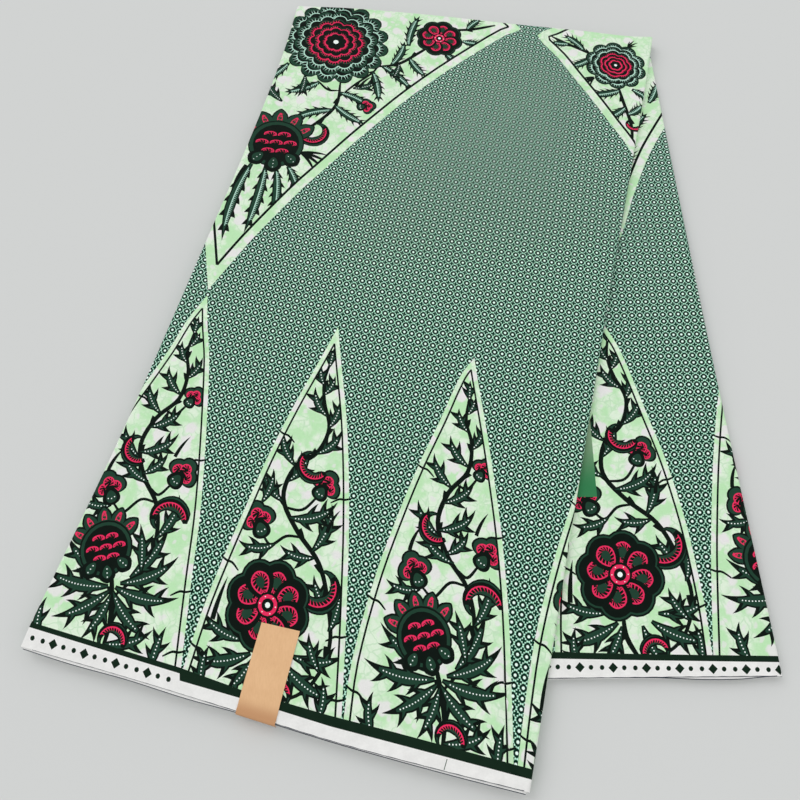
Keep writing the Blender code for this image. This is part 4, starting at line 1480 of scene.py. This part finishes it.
def folded_ring(block, layer, squeeze):
    """The outline of one layer in plan, its left side first, then far fold, right side and hem."""
    leaf = block.leaf
    left = block.left_inset + wander(layer, 1.0, FOLD_WANDER) + squeeze
    right = block.right_inset + wander(layer, 2.0, FOLD_WANDER) + squeeze
    top = (block.top_inset + wander(layer, 3.0, FOLD_WANDER) + squeeze) / leaf.length
    bottom = 1.0 - (wander(layer, 4.0, HEM_WANDER) + squeeze) / leaf.length
    down = shares(SIDE_STEPS)
    over = shares(FOLD_STEPS)
    ring = [leaf.plan(0.0, bottom + (top - bottom) * step, left, right)[0] for step in down]
    ring += [leaf.plan(step, top, left, right)[0] for step in over[1:]]
    covered = block.notch and layer >= NOTCH_LAYER
    for step in down[1:]:
        share = top + (bottom - top) * step
        under_side = covered and leaf.plan(1.0, share)[0].y > SIDE_HEM_CLEAR
        ring.append(leaf.plan(1.0, share, left, block.notch if under_side else right)[0])
    ring += [leaf.plan(1.0 - step, bottom, left, right)[0] for step in over[1:-1]]
    return np.array(ring)


places, faces, face_inks, prints = [], [], [], []
RING_INK, MINT_INK, BARE_INK = range(len(FOLDED_INKS))
for block in FOLDED_BLOCKS:
    chart = SIDE_CHART if block.leaf is side else FRONT_CHART
    rings = []
    for layer in range(block.layers):
        for level in EDGE_LEVELS:
            ring = folded_ring(block, layer, level.squeeze)
            height = np.full(len(ring), block.foot + (layer + level.share) * LAYER)
            rings.append(len(places))
            places.extend(np.column_stack([ring, stack_lift(ring, height)]))
            shift = (PRINT_SHIFT[0] * layer, PRINT_SHIFT[1] * layer + level.share)
            prints.extend(to_chart(chart, ring) + shift)
    for row, (low_ring, high_ring) in enumerate(zip(rings, rings[1:])):
        for k, after in ring_of_edges(len(ring)):
            faces.append((low_ring + after, low_ring + k, high_ring + k, high_ring + after))
            printed = MINT_INK if math.sin(k * 0.41 + (row // len(EDGE_LEVELS)) * 2.7) <= -0.3 else RING_INK
            face_inks.append(printed if k < 2 * SIDE_STEPS + FOLD_STEPS else BARE_INK)
    faces.append(tuple(reversed([rings[-1] + k for k in range(len(ring))])))
    faces.append(tuple(rings[0] + k for k in range(len(ring))))
    face_inks.extend((BARE_INK, BARE_INK))
folded_layers = new_piece("folded_layers", places, faces)
lay_print(folded_layers, face_inks, prints)
soften(folded_layers, FOLDED_CREASE)
give_inks(folded_layers, FOLDED_INKS)
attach(folded_layers, "root")
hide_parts("hidden_layers")


# Paper label.  A strip of brown kraft paper with a faint fibre, laid on the front leaf and
# folded down over its hem.  It is left bare.
LABEL_WIDTH = 0.0229
LABEL_TOP = Vector((-0.0686, -0.2262))
LABEL_RUN = Vector((-0.0110, -0.0492)).normalized()
LABEL_LENGTH = 0.047
LABEL_PAPER = 0.0004
LABEL_BEND = 0.0013
LABEL_FOOT_Z = 0.0026
LABEL_HEM_CLEARANCE = 0.0014
LABEL_ROWS = 30
LABEL_COLUMNS = 8
LABEL_BEND_STEPS = 6
KRAFT = colour(236, 193, 146)
KRAFT_DARK = colour(206, 158, 110)
# Painted shade: the darker colour of the label's end where it bends down over the hem, as if turned away from
# the light.
KRAFT_BEND_SHADE = colour(192, 142, 98)

label_across = Vector((-LABEL_RUN.y, LABEL_RUN.x))
hem_left, hem_right = front.edges(1.0)
hem_along = (hem_right - hem_left).normalized()
hem_out = Vector((hem_along.y, -hem_along.x))
label_points = []
for column in shares(LABEL_COLUMNS):
    start = LABEL_TOP + label_across * (column - 0.5) * LABEL_WIDTH
    across = (start + LABEL_RUN * LABEL_LENGTH - hem_left).dot(hem_along) / (hem_right - hem_left).length
    hem_reach = table_value(FRONT_HEM, across, "reach") + LABEL_HEM_CLEARANCE
    flat = (hem_left + hem_out * hem_reach - start).dot(hem_out) / LABEL_RUN.dot(hem_out) - LABEL_BEND
    lying = np.array([start + LABEL_RUN * flat * step for step in shares(LABEL_ROWS)])
    heights = stack_lift(lying, np.full(len(lying), FRONT_TOP_Z + GAP + LABEL_PAPER))
    label_points.extend(np.column_stack([lying, heights]).tolist())
    for turn in shares(LABEL_BEND_STEPS)[1:]:
        angle = math.radians(90.0) * turn
        place = start + LABEL_RUN * (flat + LABEL_BEND * math.sin(angle))
        label_points.append((place.x, place.y, heights[-1] - LABEL_BEND * (1.0 - math.cos(angle))))
    label_points.append((place.x, place.y, LABEL_FOOT_Z))
label_tall = len(label_points) // (LABEL_COLUMNS + 1)
paper_label = new_piece("paper_label", label_points, [
    (k, k + 1, k + label_tall + 1, k + label_tall)
    for column in range(LABEL_COLUMNS) for k in range(column * label_tall, (column + 1) * label_tall - 1)])
thicken(paper_label, LABEL_PAPER)

kraft = bpy.data.materials.new("kraft_paper")
kraft.use_nodes = True
kraft_shader = kraft.node_tree.nodes["Principled BSDF"]
kraft_shader.inputs["Roughness"].default_value = 0.62
paper_place = Paint(kraft.node_tree).node("ShaderNodeTexCoord", result=3)
fibre_place = paper_place.node("ShaderNodeMapping", values={"Vector": paper_place, "Scale": (1.0, 0.22, 1.0)})
fibre = fibre_place.noise(1400.0, 4.0)
tint = (fibre * 0.5 + paper_place.noise(120.0, 3.0) * 0.35).blended(KRAFT, KRAFT_DARK)
paper_x, paper_y = paper_place.parts()
# Painted shade: the paper darkens over its last few millimetres before the hem and over its bent end.
beyond_hem = paper_x * hem_out.x + paper_y * hem_out.y - hem_left.dot(hem_out)
tint = beyond_hem.below(-0.0035, 0.0045).blended(KRAFT_BEND_SHADE, tint)
kraft.node_tree.links.new(tint.source, kraft_shader.inputs["Base Color"])
fibre.bumped(kraft_shader, 0.2, 0.0002)
paper_label.data.materials.append(kraft)
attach(paper_label, "root")
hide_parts("label")
